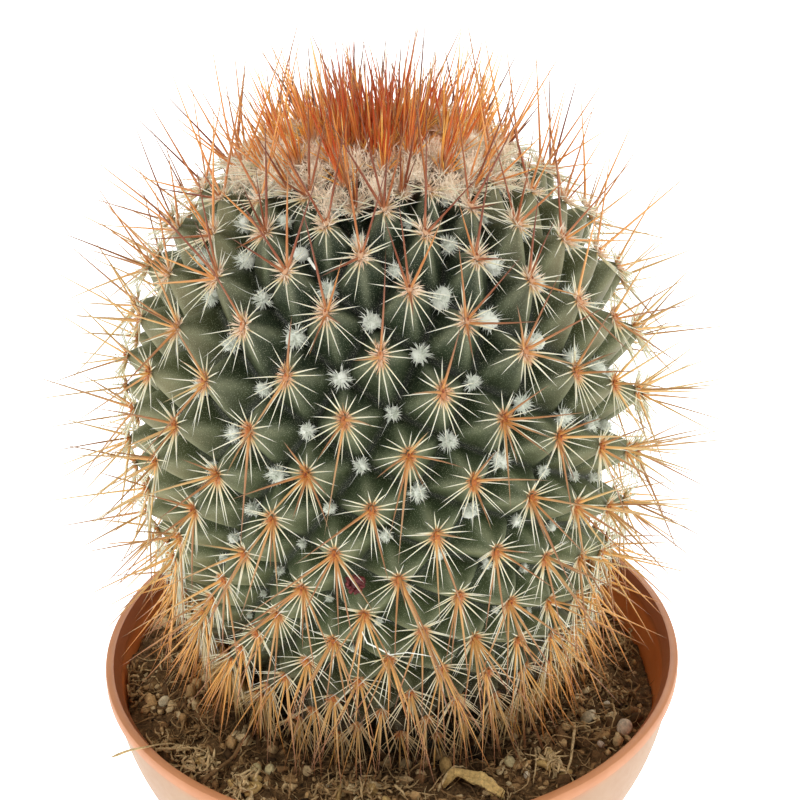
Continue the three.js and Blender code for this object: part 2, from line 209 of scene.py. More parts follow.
def circle(radius, turns, height):
    """Points at a radius from the stem's axis and at a height."""
    radius, turns, height = np.broadcast_arrays(radius, turns, height)
    return np.stack([radius * np.cos(turns), radius * np.sin(turns), height], -1)


def joined(blocks):
    return [np.concatenate(column) for column in zip(*blocks)]


def grid_faces(rows, columns, closed=False):
    """Quads between rows and columns of points; closed joins the last column to the first."""
    index = np.arange(rows * columns).reshape(rows, columns)
    if closed:
        index = np.concatenate([index, index[:, :1]], 1)
    return np.stack([index[:-1, :-1], index[1:, :-1], index[1:, 1:], index[:-1, 1:]], -1).reshape(-1, 4)


def copies(faces, count, points_each):
    """The faces of a shape for each of its copies, whose points follow each other."""
    offsets = np.arange(count) * points_each
    return (faces[None] + offsets[:, None, None]).reshape(-1, faces.shape[1])


def link_object(name, data):
    made = bpy.data.objects.new(name, data)
    bpy.context.scene.collection.objects.link(made)
    return made


def make_object(name, points, faces, material, slot, **attributes):
    """A mesh object from points in millimetres and faces, which rides on the part's one body."""
    mesh = bpy.data.meshes.new(name)
    sizes = np.concatenate([np.full(len(block), block.shape[1], np.int32) for block in faces])
    corners = np.concatenate([block.ravel() for block in faces]).astype(np.int32)
    mesh.vertices.add(len(points))
    mesh.vertices.foreach_set("co", (np.asarray(points) * MM).astype(np.float32).ravel())
    mesh.loops.add(len(corners))
    mesh.loops.foreach_set("vertex_index", corners)
    mesh.polygons.add(len(sizes))
    mesh.polygons.foreach_set("loop_start", np.concatenate([[0], np.cumsum(sizes)[:-1]]))
    mesh.polygons.foreach_set("use_smooth", np.ones(len(sizes), bool))
    mesh.update(calc_edges=True)
    for key, values in attributes.items():
        layer = mesh.attributes.new(key, "FLOAT", "POINT")
        layer.data.foreach_set("value", np.asarray(values, np.float32))
    mesh.validate()
    mesh.materials.append(material)
    made = link_object(name, mesh)
    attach(made, "root")
    return made


# Spiral lattice

PROFILE_ROWS = np.array([(order, radius ** 2, height) for order, radius, height in TIP_PROFILE], float)

# Base corners and tip frames of all tubercles of one kind
Cells = namedtuple("Cells", "corners frames")


def profile(orders):
    """Radius and height of the surface through the tips, at fractional order numbers."""
    last = len(PROFILE_ROWS) - 2
    index = np.clip(np.searchsorted(PROFILE_ROWS[:, 0], orders, side="right") - 1, 0, last)
    rows = (np.maximum(index - 1, 0), index, index + 1, np.minimum(index + 2, last + 1))
    before, start, end, after = (PROFILE_ROWS[row] for row in rows)
    width = end[:, :1] - start[:, :1]
    t = (orders[:, None] - start[:, :1]) / width
    value, target = start[:, 1:], end[:, 1:]
    rise = width * (target - before[:, 1:]) / (end[:, :1] - before[:, :1])
    fall = width * (after[:, 1:] - value) / (after[:, :1] - start[:, :1])
    cubic = 2 * value - 2 * target + rise + fall
    square = 3 * target - 3 * value - 2 * rise - fall
    row = value + t * (rise + t * (square + t * cubic))
    return np.sqrt(np.maximum(row[:, 0], 0)), POT_HEIGHT + row[:, 1]


def profile_step(orders):
    """Change of radius and height from the next tip below to the next one above."""
    (radius_above, height_above), (radius_below, height_below) = profile(orders - 1), profile(orders + 1)
    return radius_above - radius_below, height_above - height_below


class Frames:
    """Points with the directions up the stem, out of it and sideways."""

    def __init__(self, point, up, normal):
        self.point = point
        self.up = up
        self.normal = normal
        self.side = np.cross(up, normal)

    def repeated(self, count):
        return Frames(*(np.repeat(part, count, 0) for part in (self.point, self.up, self.normal)))

    def kept(self, mask):
        return Frames(self.point[mask], self.up[mask], self.normal[mask])

    def along(self, turns):
        return self.up * np.cos(turns)[:, None] + self.side * np.sin(turns)[:, None]

    def leaning(self, turns, rise):
        """Directions at a turn from the upward one, which rise out of the surface."""
        return self.along(turns) * np.cos(rise)[:, None] + self.normal * np.sin(rise)[:, None]


def surface_frames(orders, angles):
    around = np.stack([np.sin(angles), -np.cos(angles), np.zeros_like(angles)], -1)

    def raised(outward, upward):
        made = around * outward[:, None]
        made[:, 2] = upward
        return made

    outward, upward = unit(np.stack(profile_step(orders), -1)).T
    return Frames(raised(*profile(orders)), raised(outward, upward), raised(upward, -outward))


def spacing(orders):
    radius, _ = profile(orders)
    return np.sqrt(FULL_TURN * np.maximum(1.2, radius) * np.hypot(*profile_step(orders)) / 2)


def tip_angles(orders):
    return FIRST_ANGLE - DIVERGENCE * orders


def axil_frames(orders):
    """The low places where the bases of four tubercles meet."""
    place = np.maximum(orders, CROWN_START) - BASE_OFFSET
    at = surface_frames(place, tip_angles(orders) + BASE_TURN)
    at.point = at.point - at.normal * (AXIL_DEPTH_RATIO * spacing(place))[:, None] - at.up * LEAN
    return at


def base_corners(orders, *steps):
    """The axils round each tubercle, at these steps in order number from its own."""
    places = orders[:, None] + np.array(steps)
    return axil_frames(places.ravel()).point.reshape(len(orders), -1, 3)


def crown_cells(corners, orders, raise_by):
    """Crown tubercles, whose tips are raised over the middle of their bases."""
    middle = corners.mean(1)
    frames = surface_frames(orders, np.arctan2(middle[:, 0], -middle[:, 1]))
    frames.point = middle + frames.normal * raise_by
    return Cells(corners, frames)


def youngest_areoles():
    """The last areoles, without tubercles of their own, which close the middle of the crown."""
    index = np.arange(10)
    out = circle(1.0, DIVERGENCE * index, 0.0)
    point = out * (1.5 * np.sqrt(index))[:, None] + [0, 0, POT_HEIGHT + STEM_HEIGHT - 0.6 * APEX_SINK]
    return Cells(None, Frames(point, out, np.tile([0, 0, 1.0], (len(index), 1))))


def make_cells():
    """Quads of the lattice, strip triangles, crown quads, the fan at the apex and the last areoles."""
    order = np.arange(LATTICE_START, LATTICE_END)
    lattice = Cells(base_corners(order, 0, 21, 34, 13), surface_frames(order, tip_angles(order)))
    order = np.arange(LATTICE_START, LATTICE_START + 13)
    strip = crown_cells(base_corners(order, 0, 8, 21), order - CROWN_OFFSET, CROWN_TUBERCLE_HEIGHT)
    order = np.arange(CROWN_START, LATTICE_START)
    crown = crown_cells(base_corners(order, 0, 8, 21, 13), order - CROWN_OFFSET, CROWN_TUBERCLE_HEIGHT)

    step = np.arange(21)
    order = CROWN_START + step
    following = np.where(step < 8, order + 13, order - 8)
    _, top = profile(np.array([CROWN_START - BASE_OFFSET - 1.0]))
    apex = np.tile([0.0, 0.0, top[0] - APEX_SINK], (len(order), 1))
    corners = np.stack([apex, axil_frames(order).point, axil_frames(following).point], 1)
    fan = crown_cells(corners, order - BASE_OFFSET, APEX_TUBERCLE_HEIGHT)
    return lattice, strip, crown, fan, youngest_areoles()


# Stem skin

def tubercle_height(reach):
    """Share of the full height at a reach of 0 over the tip to 1 at the base."""
    eased = np.sqrt(reach ** 2 + TIP_ROUNDING ** 2) - TIP_ROUNDING
    eased = eased / (math.sqrt(1 + TIP_ROUNDING ** 2) - TIP_ROUNDING)
    share = np.clip(1 - eased, 0, 1)
    return share * (1 + BULGE * (1 - share))


def corner_weights(steps):
    """Places of a grid over a base, and the share of each of its four corners in them."""
    line = np.linspace(0, 1, steps + 1)
    u, v = np.meshgrid(line, line, indexing="ij")
    return u, v, np.stack([(1 - u) * (1 - v), u * (1 - v), u * v, (1 - u) * v], -1)


def raised_grids(corners, lift, weights, share, ridge, under):
    """A grid over each base, raised by a share of its lift: points, faces and skin values."""
    points = np.einsum("uvk,nkc->nuvc", weights, corners) + lift[:, None, None] * share[..., None]
    skin = np.tile(np.stack([share, ridge, under], -1).reshape(-1, 3), (len(corners), 1))
    return points.reshape(-1, 3), copies(grid_faces(*share.shape), len(corners), share.size), skin


def quad_patches(cells):
    """Rounded four-sided tubercles."""
    u, v, weights = corner_weights(PATCH_STEPS)
    a, b = np.abs(2 * u - 1), np.abs(2 * v - 1)
    share = tubercle_height(np.clip((a ** SHOULDER + b ** SHOULDER) ** (1 / SHOULDER), 0, 1))
    ridge = (1 - smoothstep(np.abs(a - b), 0.0, RIDGE_WIDTH)) * np.minimum(1, 2 * share)
    # The lower half of each tubercle, which the skin keeps lit while painted shade darkens the upper
    # half.
    under = smoothstep(u + v, 0.85, 1.15)
    lift = cells.frames.point - cells.corners.mean(1)
    return [raised_grids(cells.corners, lift, weights, share, ridge, under)]


def triangle_patches(cells):
    """Three-sided tubercles, each as three small grids that meet in the middle."""
    _, _, weights = corner_weights(PATCH_STEPS // 2)
    share = tubercle_height(1 - weights[..., 2])
    middle = cells.corners.mean(1)
    made = []
    for i in range(3):
        here = cells.corners[:, i]
        after, before = ((here + cells.corners[:, (i + step) % 3]) / 2 for step in (1, 2))
        corners = np.stack([here, after, middle, before], 1)
        made.append(raised_grids(corners, cells.frames.point - middle, weights, share,
                                 np.zeros_like(share), np.full_like(share, 0.5)))
    return made


def root_patch():
    """Stem base below the last tubercles, down into the soil."""
    edge = axil_frames(LATTICE_END + 13 * np.arange(34) % 34).point
    share = np.linspace(0, 1, PATCH_STEPS + 1)[:-1, None]
    top = (edge[:, None] * (1 - share) + np.roll(edge, -1, axis=0)[:, None] * share).reshape(-1, 3)
    turns = np.arctan2(top[:, 1], top[:, 0])
    points = np.concatenate([top, circle(STEM_BASE_RADIUS, turns, SOIL_LEVEL + 2.5),
                             circle(ROOT_RADIUS, turns, SOIL_LEVEL - ROOT_DEPTH)])
    return points, grid_faces(3, len(top), closed=True), np.zeros_like(points)


def make_stem(cell_sets, material):
    lattice, strip, crown, fan, _ = cell_sets
    parts = [*quad_patches(lattice), *triangle_patches(strip), *quad_patches(crown),
             *triangle_patches(fan), root_patch()]
    starts = np.cumsum([0] + [len(points) for points, _, _ in parts])
    points, faces, values = joined((points, faces + start, skin)
                                   for (points, faces, skin), start in zip(parts, starts))
    merged, inverse = np.unique(np.round(points, 4), axis=0, return_inverse=True)
    inverse = inverse.reshape(-1)
    skin = np.zeros((len(merged), 3))
    skin[inverse] = values
    made = make_object("stem_skin", merged, [inverse[faces]], material, "stem", share=skin[:, 0],
                       ridge=skin[:, 1], under=skin[:, 2], front=frontness(merged))
    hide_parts("cactus")


# Needles, fibres and lumps

def across_of(directions):
    helper = np.where(np.abs(directions[:, 2:]) < 0.9, [[0, 0, 1.0]], [[1.0, 0, 0]])
    return unit(np.cross(directions, helper))


def needle_paths(roots, directions, lengths, bends, steps):
    """Almost straight paths, whose tips are off the line by the bends."""
    t = np.linspace(0, 1, steps + 1)[None, :, None]
    axis = unit(directions) * lengths[:, None]
    return roots[:, None] + axis[:, None] * t + bends[:, None] * t ** 2


def curly_paths(roots, directions, lengths, curl, steps, random):
    """Paths that turn a little at every step."""
    heading = unit(directions)
    turn = random.normal(size=heading.shape) * curl
    paths = [roots]
    for _ in range(steps):
        paths.append(paths[-1] + heading * (lengths / steps)[:, None])
        turn = 0.6 * turn + 0.6 * curl * random.normal(size=heading.shape)
        heading = unit(heading + turn)
    return np.stack(paths, 1)


def sideways(directions, lengths, amount, random):
    """Random offsets at right angles to the directions."""
    offset = random.normal(size=directions.shape)
    offset -= directions * np.sum(offset * directions, 1, keepdims=True)
    return offset * (lengths * amount)[:, None]


def add_strands(name, body, ends, tones, material, slot, closed):
    """Strands from their cross sections and their pointed far ends."""
    count, rings, across = body.shape[:3]
    each = rings * across + 1
    points = np.concatenate([body.reshape(count, -1, 3), ends[:, None]], 1)
    last = np.arange(across) + each - 1 - across
    if closed:
        last = np.append(last, last[0])
    caps = np.stack([last[:-1], last[1:], np.full(len(last) - 1, each - 1)], 1)
    quads = grid_faces(rings, across, closed)[:, [0, 3, 2, 1]]
    along = np.append(np.repeat(np.linspace(0, 1, rings + 1)[:-1], across), 1.0)
    make_object(name, points.reshape(-1, 3), [copies(part, count, each) for part in (caps, quads)],
                material, slot, along=np.tile(along, count),
                tone=np.repeat(np.broadcast_to(tones, count), each))


def add_tubes(name, paths, radii, tones, material, slot, sides, tip_share=0.1, root_share=1.0):
    """Tapered tubes along the paths."""
    t = np.linspace(0, 1, paths.shape[1])[:-1]
    width = tip_share + (1 - tip_share) * (1 - t ** 1.3)
    width[0] *= root_share
    axis = unit(paths[:, -1] - paths[:, 0])
    across = across_of(axis)
    turns = (FULL_TURN * np.arange(sides) / sides)[:, None]
    ring = across[:, None] * np.cos(turns) + np.cross(axis, across)[:, None] * np.sin(turns)
    radii = np.broadcast_to(radii, len(paths))
    body = paths[:, :-1, None] + ring[:, None] * (radii[:, None] * width)[:, :, None, None]
    add_strands(name, body, paths[:, -1], tones, material, slot, closed=True)


def add_ribbons(name, paths, widths, tones, material, slot, random):
    """Flat fibres along the paths."""
    axis = unit(paths[:, -1] - paths[:, 0])
    across = unit(across_of(axis) + sideways(axis, np.ones(len(axis)), 0.8, random))
    edges = across[:, None] * np.array([-0.5, 0.5])[:, None] \
        * np.broadcast_to(widths, len(paths))[:, None, None]
    add_strands(name, paths[:, :-1, None] + edges[:, None], paths[:, -1], tones, material, slot,
                closed=False)


def ball(level):
    shape = bmesh.new()
    bmesh.ops.create_icosphere(shape, subdivisions=level, radius=1)
    points = np.array([vert.co for vert in shape.verts])
    faces = np.array([[vert.index for vert in face.verts] for face in shape.faces])
    shape.free()
    return points, faces


def add_lumps(name, centres, radii, stretch, level, rough, tones, material, slot, random, axes=None):
    """Balls that are stretched along three axes, and pulled out of shape by waves."""
    points, faces = ball(level)
    count = len(centres)
    waves = random.normal(size=(count, 4, 3)) * 1.7
    phases = random.uniform(0, 6.28, (count, 4))
    swell = 1 + rough * np.sin(np.einsum("nkc,pc->npk", waves, points) + phases[:, None]).mean(-1)
    if axes is None:
        turned = unit(random.normal(size=(count, 3)))
        beside = across_of(turned)
        axes = np.stack([turned, beside, np.cross(turned, beside)], 1)
    local = points[None] * swell[..., None] * np.broadcast_to(stretch, (count, 3))[:, None]
    offsets = np.einsum("npc,ncd->npd", local, axes) * np.broadcast_to(radii, count)[:, None, None]
    make_object(name, (centres[:, None] + offsets).reshape(-1, 3), [copies(faces, count, len(points))],
                material, slot, tone=np.repeat(tones, len(points)))


# Spines

def relative_height(points):
    return np.clip((points[:, 2] - POT_HEIGHT) / STEM_HEIGHT, 0, 1)


def lowness(points):
    """1 at the soil, 0 from a third of the way up."""
    return 1 - smoothstep(relative_height(points), 0.02, 0.34)


def frontness(points):
    """1 on the front and the back of the stem, 0 at its sides, where painted light from behind makes the
    colours paler and more golden.
    """
    facing = np.abs(points[:, 1]) / np.maximum(np.hypot(points[:, 0], points[:, 1]), 1.0)
    return smoothstep(facing, 0.45, 0.92)


def areole_edge(at, turns, share=1.0):
    """Places round the oval foot of the spines."""
    return at.point + at.up * (0.5 * AREOLE_LENGTH * share * np.cos(turns))[:, None] \
        + at.side * (0.5 * AREOLE_WIDTH * share * np.sin(turns))[:, None]


def spine_roots(at, turns, share=1.0):
    return areole_edge(at, turns, share) - at.normal * 0.3


def radial_paths(frames, count, length, rise, random):
    """A star of thin spines that lies close to each tubercle, densest below."""
    tubercles = len(frames.point)
    turns = (np.arange(count)[None] + 0.5 + 0.35 * random.uniform(-1, 1, (tubercles, count))) \
        * FULL_TURN / count + random.uniform(-0.16, 0.16, (tubercles, 1))
    turns = (turns + 0.24 * np.sin(turns)).ravel()
    at = frames.repeated(count)
    low = lowness(at.point)
    front = frontness(at.point)
    aside = low * (1 - front)
    directions = at.leaning(turns, rise + 0.13 * random.normal(size=len(turns)))
    directions[:, 2] -= RADIAL_DROOP * low
    directions = unit(directions)
    downward = 0.5 - 0.5 * np.cos(turns)
    lengths = length * (0.66 + (0.44 + 0.5 * low + 0.3 * aside) * downward
                        + 0.1 * random.normal(size=len(turns)))
    lengths = np.maximum(lengths, 2.0)
    bends = sideways(directions, lengths, 0.03, random)
    bends[:, 2] -= 0.05 * lengths * (0.4 + low)
    paths = needle_paths(spine_roots(at, turns), directions, lengths, bends, 3)
    radii = RADIAL_RADIUS + 0.03 * random.uniform(-1, 1, len(turns))
    thinned = 0.3 * low * front + 0.25 * smoothstep(relative_height(at.point), 0.65, 0.85)
    kept = random.uniform(0, 1, len(turns)) > thinned
    radii *= 1 - 0.2 * low * front + 0.15 * aside
    # Tones are partly random; their rise at the sides of the stem, most near the soil, is painted light
    # from behind.
    tones = 0.55 * random.uniform(0, 1, len(turns)) + (0.15 + 0.45 * low) * (1 - front)
    return paths[kept], radii[kept], tones[kept]


def central_paths(frames, random):
    """Stout spines that stand out from each tubercle. The lowest of them is the longest, and near the
    crown the highest."""
    habits = np.tile(np.array(CENTRAL_HABITS), (len(frames.point), 1))
    at = frames.repeated(len(CENTRAL_HABITS))
    present = habits[:, 3] \
        + (habits[:, 4] - habits[:, 3]) * smoothstep(relative_height(at.point), 0.3, 0.85) \
        + lowness(at.point) * (0.3 - 0.5 * frontness(at.point))
    kept = random.uniform(0, 1, len(habits)) < present
    at = at.kept(kept)
    turn, lift, length, _, _ = habits[kept].T
    count = len(turn)
    height = relative_height(at.point)
    low = lowness(at.point)
    front = frontness(at.point)
    young = smoothstep(height, 0.62, 0.9)
    upper = np.cos(turn) > 0.9
    lower = np.cos(turn) < -0.9
    turns = turn + 0.45 * random.uniform(-1, 1, count)
    turns += np.where(np.abs(turns) > 0.7, 0.5 * low * (np.sign(turns) * math.pi - turns), 0)
    rise = lift + 0.2 * random.uniform(-1, 1, count)
    rise = np.where(upper, rise - 0.3 * young, rise) + np.where(lower, 0.35 * young, 0)
    directions = at.leaning(turns, rise)
    sweep = np.where(lower & (lift < 0.6), 0.4 * UPSWEEP, UPSWEEP)
    directions[:, 2] += sweep * (height - LEVEL_HEIGHT) - CENTRAL_DROOP * low
    directions = unit(directions)
    lengths = length * (1 + 0.2 * random.uniform(-1, 1, count))
    lengths *= np.where(upper, 1 + 0.3 * young, 1) * np.where(lower, 1 - 0.3 * young, 1 + 0.12 * young)
    lengths *= (1 - 0.12 * low) * (1 + 0.1 * (1 - low) * (1 - front))
    bends = sideways(directions, lengths, 0.025, random)
    bends[:, 2] -= 0.03 * lengths * (1 - young)
    paths = needle_paths(spine_roots(at, turns, 0.4), directions, lengths, bends, 5)
    radii = (CENTRAL_RADIUS + 0.035 * random.uniform(-1, 1, count)) * np.where(lengths < 11, 0.85, 1) \
        * (1 - 0.35 * low * front)
    # Tones are partly random; the lower tone at the sides of the stem, which picks the golden forms
    # there, is painted light from behind.
    tones = 0.45 * front + 0.75 * random.uniform(0, 1, count) - 0.1 - 0.25 * low * (1 - front)
    return paths, radii, tones


def crown_paths(frames, count, length, random):
    """Young spines that stand almost straight up and fan out towards the shoulder."""
    at = frames.repeated(count)
    turns = random.uniform(0, FULL_TURN, len(at.point))
    radius = np.hypot(at.point[:, 0], at.point[:, 1])
    outward = at.point * [1 / 30, 1 / 30, 0] * (0.6 + radius / 36)[:, None]
    directions = outward * CROWN_FAN + [0, 0, 1.0] + 0.1 * random.normal(size=at.point.shape)
    directions = unit(directions + at.along(turns) * 0.12)
    lengths = length * (0.3 + 0.92 * random.uniform(0, 1, len(turns)) ** 1.8)
    bends = sideways(directions, lengths, 0.02, random)
    paths = needle_paths(spine_roots(at, turns, 0.7), directions, lengths, bends, 5)
    radii = CROWN_SPINE_RADIUS + 0.04 * random.uniform(-1, 1, len(turns))
    # Outer spines take the golden tone; that it reaches further in at the sides of the stem is painted
    # light from behind.
    tones = 1.3 - radius * (1 - 0.6 * frontness(at.point)) / 15 + 0.4 * random.normal(size=len(turns))
    return paths, radii, np.clip(tones, 0, 1)


def make_spines(cell_sets, materials):
    random = np.random.default_rng(11)

    def radials(index):
        return radial_paths(cell_sets[index].frames, *RADIALS[index], random)

    add_tubes("radial_spines", *radials(0), materials["radial"], "spine", 4)
    central = central_paths(cell_sets[0].frames, random)
    edge, *inner = [crown_paths(part.frames, *habit, random)
                    for part, habit in zip(cell_sets[1:], YOUNG_SPINES)]
    add_tubes("central_spines", *joined([central, edge]), materials["central"], "spine", 5, 0.04)
    add_tubes("crown_spines", *joined(inner), materials["crown"], "spine", 5, 0.05)
    add_tubes("edge_radial_spines", *radials(1), materials["radial"], "spine", 4)
    paths, radii, tones = joined([radials(2), radials(3)])
    add_tubes("crown_radial_spines", paths, radii, 0.5 * tones, materials["crown"], "spine", 4)


# Wool and areoles

def make_axil_wool(material):
    """White tufts between the tubercles, largest below the crown, some with long bristles."""
    random = np.random.default_rng(23)
    orders = np.arange(LATTICE_START + 4, 170)
    at = axil_frames(orders)
    at = at.kept(np.linalg.norm(at.point - BUD_PLACE, axis=1) > 7)
    tufts = len(at.point)
    fade = np.interp(at.point[:, 2], *zip(*TUFT_FADE))
    size = TUFT_RADIUS * fade * random.uniform(0.72, 1.15, tufts)
    centres = at.point + at.normal * (TUFT_LIFT + 0.2 * size)[:, None]
    add_lumps("axil_tuft_cores", centres, 0.6 * size, random.uniform(0.7, 1.15, (tufts, 3)), 2, 0.7,
              random.uniform(0, 1, tufts), material, "wool", random)

    start = np.repeat(centres, TUFT_FIBRES, 0)
    reach = np.repeat(size, TUFT_FIBRES)
    directions = unit(random.normal(size=start.shape) + 0.35 * np.repeat(at.normal, TUFT_FIBRES, 0))
    lengths = reach * random.uniform(0.4, 0.95, len(reach))
    paths = curly_paths(start + directions * (0.3 * reach)[:, None], directions, lengths, 0.32, 2,
                        random)
    add_ribbons("axil_wool", paths, 0.17, random.uniform(0, 1, len(reach)), material, "wool", random)

    start = np.repeat(centres, TUFT_BRISTLES, 0)
    directions = unit(random.normal(size=start.shape) + 0.7 * np.repeat(at.normal, TUFT_BRISTLES, 0))
    lengths = np.repeat(fade, TUFT_BRISTLES) * random.uniform(3.0, 7.0, len(start))
    paths = curly_paths(start, directions, lengths, 0.1, 4, random)
    add_tubes("axil_bristles", paths, 0.075, random.uniform(0, 1, len(start)), material, "wool", 3)


def make_areoles(cell_sets, materials):
    """Felt round the foot of the spines, with a dark eye in the middle; young areoles are woollier."""
    random = np.random.default_rng(31)
    blocks = []
    for part, (count, reach) in zip(cell_sets, FELT):
        at = part.frames.repeated(count)
        young = smoothstep(relative_height(at.point), 0.55, 0.9)
        turns = random.uniform(0, FULL_TURN, len(at.point))
        directions = at.leaning(turns, random.uniform(0.1, 1.1, len(turns)))
        longer = 1.2 * young if part is cell_sets[0] else 0.0
        lengths = reach * (1 + longer) * random.uniform(0.5, 1.1, len(turns))
        roots = spine_roots(at, turns, random.uniform(0.4, 1.15, len(turns)))
        paths = curly_paths(roots, directions, lengths, 0.3, 2, random)
        outer = smoothstep(np.hypot(at.point[:, 0], at.point[:, 1]), 6, 17)
        tones = np.clip(young * outer + 0.2 * random.normal(size=len(turns)), 0, 1)
        blocks.append((paths, FELT_WIDTH + 0.06 * young, tones))
    add_ribbons("areole_felt", *joined(blocks), materials["felt"], "wool", random)
    centres, up, side, normal = joined((part.frames.point, part.frames.up, part.frames.side,
                                        part.frames.normal) for part in cell_sets)
    axes = np.stack([up, side, normal], 1)
    half = [0.42 * AREOLE_LENGTH, 0.42 * AREOLE_WIDTH, 0.35]
    young = smoothstep(relative_height(centres), 0.6, 0.92)
    add_lumps("areole_pads", centres, 1.0, half, 2, 0.3, young, materials["pad"], "wool", random, axes)
    add_lumps("areole_eyes", centres + normal * 0.3 + up * 0.25, 0.26, [1.5, 0.9, 0.8], 1, 0.2,
              random.uniform(0, 1, len(centres)), materials["eye"], "spine", random, axes)


def make_crown_wool(material):
    """Wool between the young spines: low and orange in the middle of the crown, tall and pale at its
    edge, where it closes to a band."""
    random = np.random.default_rng(37)
    orders = np.arange(CROWN_START, LATTICE_START + 24)
    at = axil_frames(orders)
    edge = smoothstep(orders, CROWN_START, LATTICE_START)
    centres = at.point + at.normal * (0.8 + 3.3 * edge)[:, None]
    add_lumps("crown_wool_pads", centres, 1.0 + 0.6 * edge, 1.0, 2, 0.6, edge, material, "wool", random)
    outer = np.repeat(edge, CROWN_WOOL_FIBRES)
    normal = np.repeat(at.normal, CROWN_WOOL_FIBRES, 0)
    start = np.repeat(centres, CROWN_WOOL_FIBRES, 0) + sideways(normal, 0.5 + outer, 0.9, random)
    directions = unit(random.normal(size=start.shape) + 0.8 * normal)
    lengths = random.uniform(1.0, 2.3, len(start)) * (0.7 + 0.75 * outer)
    paths = curly_paths(start + directions * 0.7, directions, lengths, 0.36, 3, random)
    tones = np.clip(outer + 0.15 * random.normal(size=len(start)), 0, 1)
    add_ribbons("crown_wool", paths, 0.15, tones, material, "wool", random)


def make_small_items(materials):
    """A spent bud, a white thread and a scrap of fluff that lie on the stem."""
    random = np.random.default_rng(43)
    turns = FULL_TURN * np.arange(BUD_PETALS) / BUD_PETALS
    out = unit(np.array([[BUD_PLACE[0], BUD_PLACE[1], 0.0]]))
    side = across_of(out)
    ring = side * np.cos(turns)[:, None] + np.cross(out, side) * np.sin(turns)[:, None]
    centres = np.concatenate([BUD_PLACE + 1.3 * ring + 0.5 * out, [BUD_PLACE]])
    stretch = random.uniform(0.7, 1.2, (len(centres), 3))
    tones = np.append(random.uniform(0.4, 1, BUD_PETALS), 0.0)
    add_lumps("spent_bud", centres, np.append(np.full(BUD_PETALS, 0.62), 1.3), stretch, 2, 0.7, tones,
              materials["bud"], "spine", random)
    add_tubes("thread", np.array([THREAD]), 0.17, 0.9, materials["wool"], "wool", 5, 0.4)
    add_tubes("fluff_scrap", np.array([FLUFF]), 0.3, 1.0, materials["wool"], "wool", 5, 0.6)


# Materials

class Nodes:
    """The nodes of a material or of the world."""

    def __init__(self, owner):
        owner.use_nodes = True
        self.tree = owner.node_tree

    def put(self, made, inputs):
        """Links a socket where another node's output is given, and sets it otherwise."""
        for key, value in inputs.items():
            if hasattr(value, "is_linked"):
                self.tree.links.new(value, made.inputs[key])
            else:
                made.inputs[key].default_value = value

    def node(self, kind, inputs=None, **values):
        made = self.tree.nodes.new("ShaderNode" + kind)
        for key, value in values.items():
            setattr(made, key, value)
        self.put(made, inputs or {})
        return made

    def ramp(self, source, *stops):
        made = self.node("ValToRGB", {"Fac": source})
        elements = made.color_ramp.elements
        elements.remove(elements[-1])
        elements[0].position, elements[0].color = stops[0][0], rgba(stops[0][1])
        for position, colour in stops[1:]:
            elements.new(position).color = rgba(colour)
        return made.outputs["Color"]

    def mixed(self, factor, first, second, blend="MIX"):
        first, second = (value if hasattr(value, "is_linked") else rgba(value)
                         for value in (first, second))
        return self.node("Mix", {0: factor, 6: first, 7: second}, data_type="RGBA",
                         blend_type=blend).outputs[2]

    def attribute(self, name):
        return self.node("Attribute", attribute_name=name).outputs["Fac"]

    def place(self):
        return self.node("TexCoord").outputs["Object"]

    def flat_place(self):
        """The place without its height."""
        return self.node("VectorMath", {0: self.place(), 1: (1, 1, 0)}, operation="MULTIPLY").outputs[0]

    def noise(self, scale, detail=3.0, rough=0.5, distortion=0.0):
        return self.node("TexNoise", {"Vector": self.place(), "Scale": scale, "Detail": detail,
                                      "Roughness": rough, "Distortion": distortion}).outputs["Fac"]

    def dots(self, scale, size):
        """1 inside small round dots, 0 between them."""
        distance = self.node("TexVoronoi", {"Vector": self.place(), "Scale": scale}).outputs["Distance"]
        return self.ramp(distance, (size, WHITE), (size * 1.6, BLACK))

    def span(self, value, low, high, **values):
        return self.node("MapRange", {"Value": value, "From Min": low, "From Max": high},
                         **values).outputs["Result"]

    def height_share(self, low, high):
        """0 at the low height in metres, 1 at the high one."""
        height = self.node("SeparateXYZ", {0: self.place()}).outputs["Z"]
        return self.span(height, low, high, interpolation_type="SMOOTHSTEP")

    def axis_distance(self, near, far):
        """0 at the near distance from the stem's axis, 1 at the far one."""
        length = self.node("VectorMath", {0: self.flat_place()}, operation="LENGTH").outputs["Value"]
        return self.span(length, near, far)


class Surface(Nodes):
    """A material with the standard shader."""

    def __init__(self, name):
        self.material = bpy.data.materials.new(name)
        super().__init__(self.material)
        self.shader = self.tree.nodes["Principled BSDF"]

    def finish(self, colour, rough, specular, relief, strength, distance, **others):
        """Gives the shader its colour, gloss and other values, and a bump from the relief."""
        bump = self.node("Bump", {"Strength": strength, "Distance": distance, "Height": relief})
        self.put(self.shader, {"Base Color": colour, "Roughness": rough, "Specular IOR Level": specular,
                               "Normal": bump.outputs["Normal"]})
        self.put(self.shader, {key.replace("_", " "): value for key, value in others.items()})
        return self.material


WHITE = (1, 1, 1, 1)
BLACK = (0, 0, 0, 1)


def finish_spine(made, colour, rough, specular):
    """A fine grain, and the glow of thin spines with light behind them."""
    return made.finish(colour, rough, specular, made.noise(2600, 2), 0.2, 0.00005,
                       Subsurface_Weight=0.3, Subsurface_Radius=(1.0, 0.75, 0.45),
                       Subsurface_Scale=0.0006)


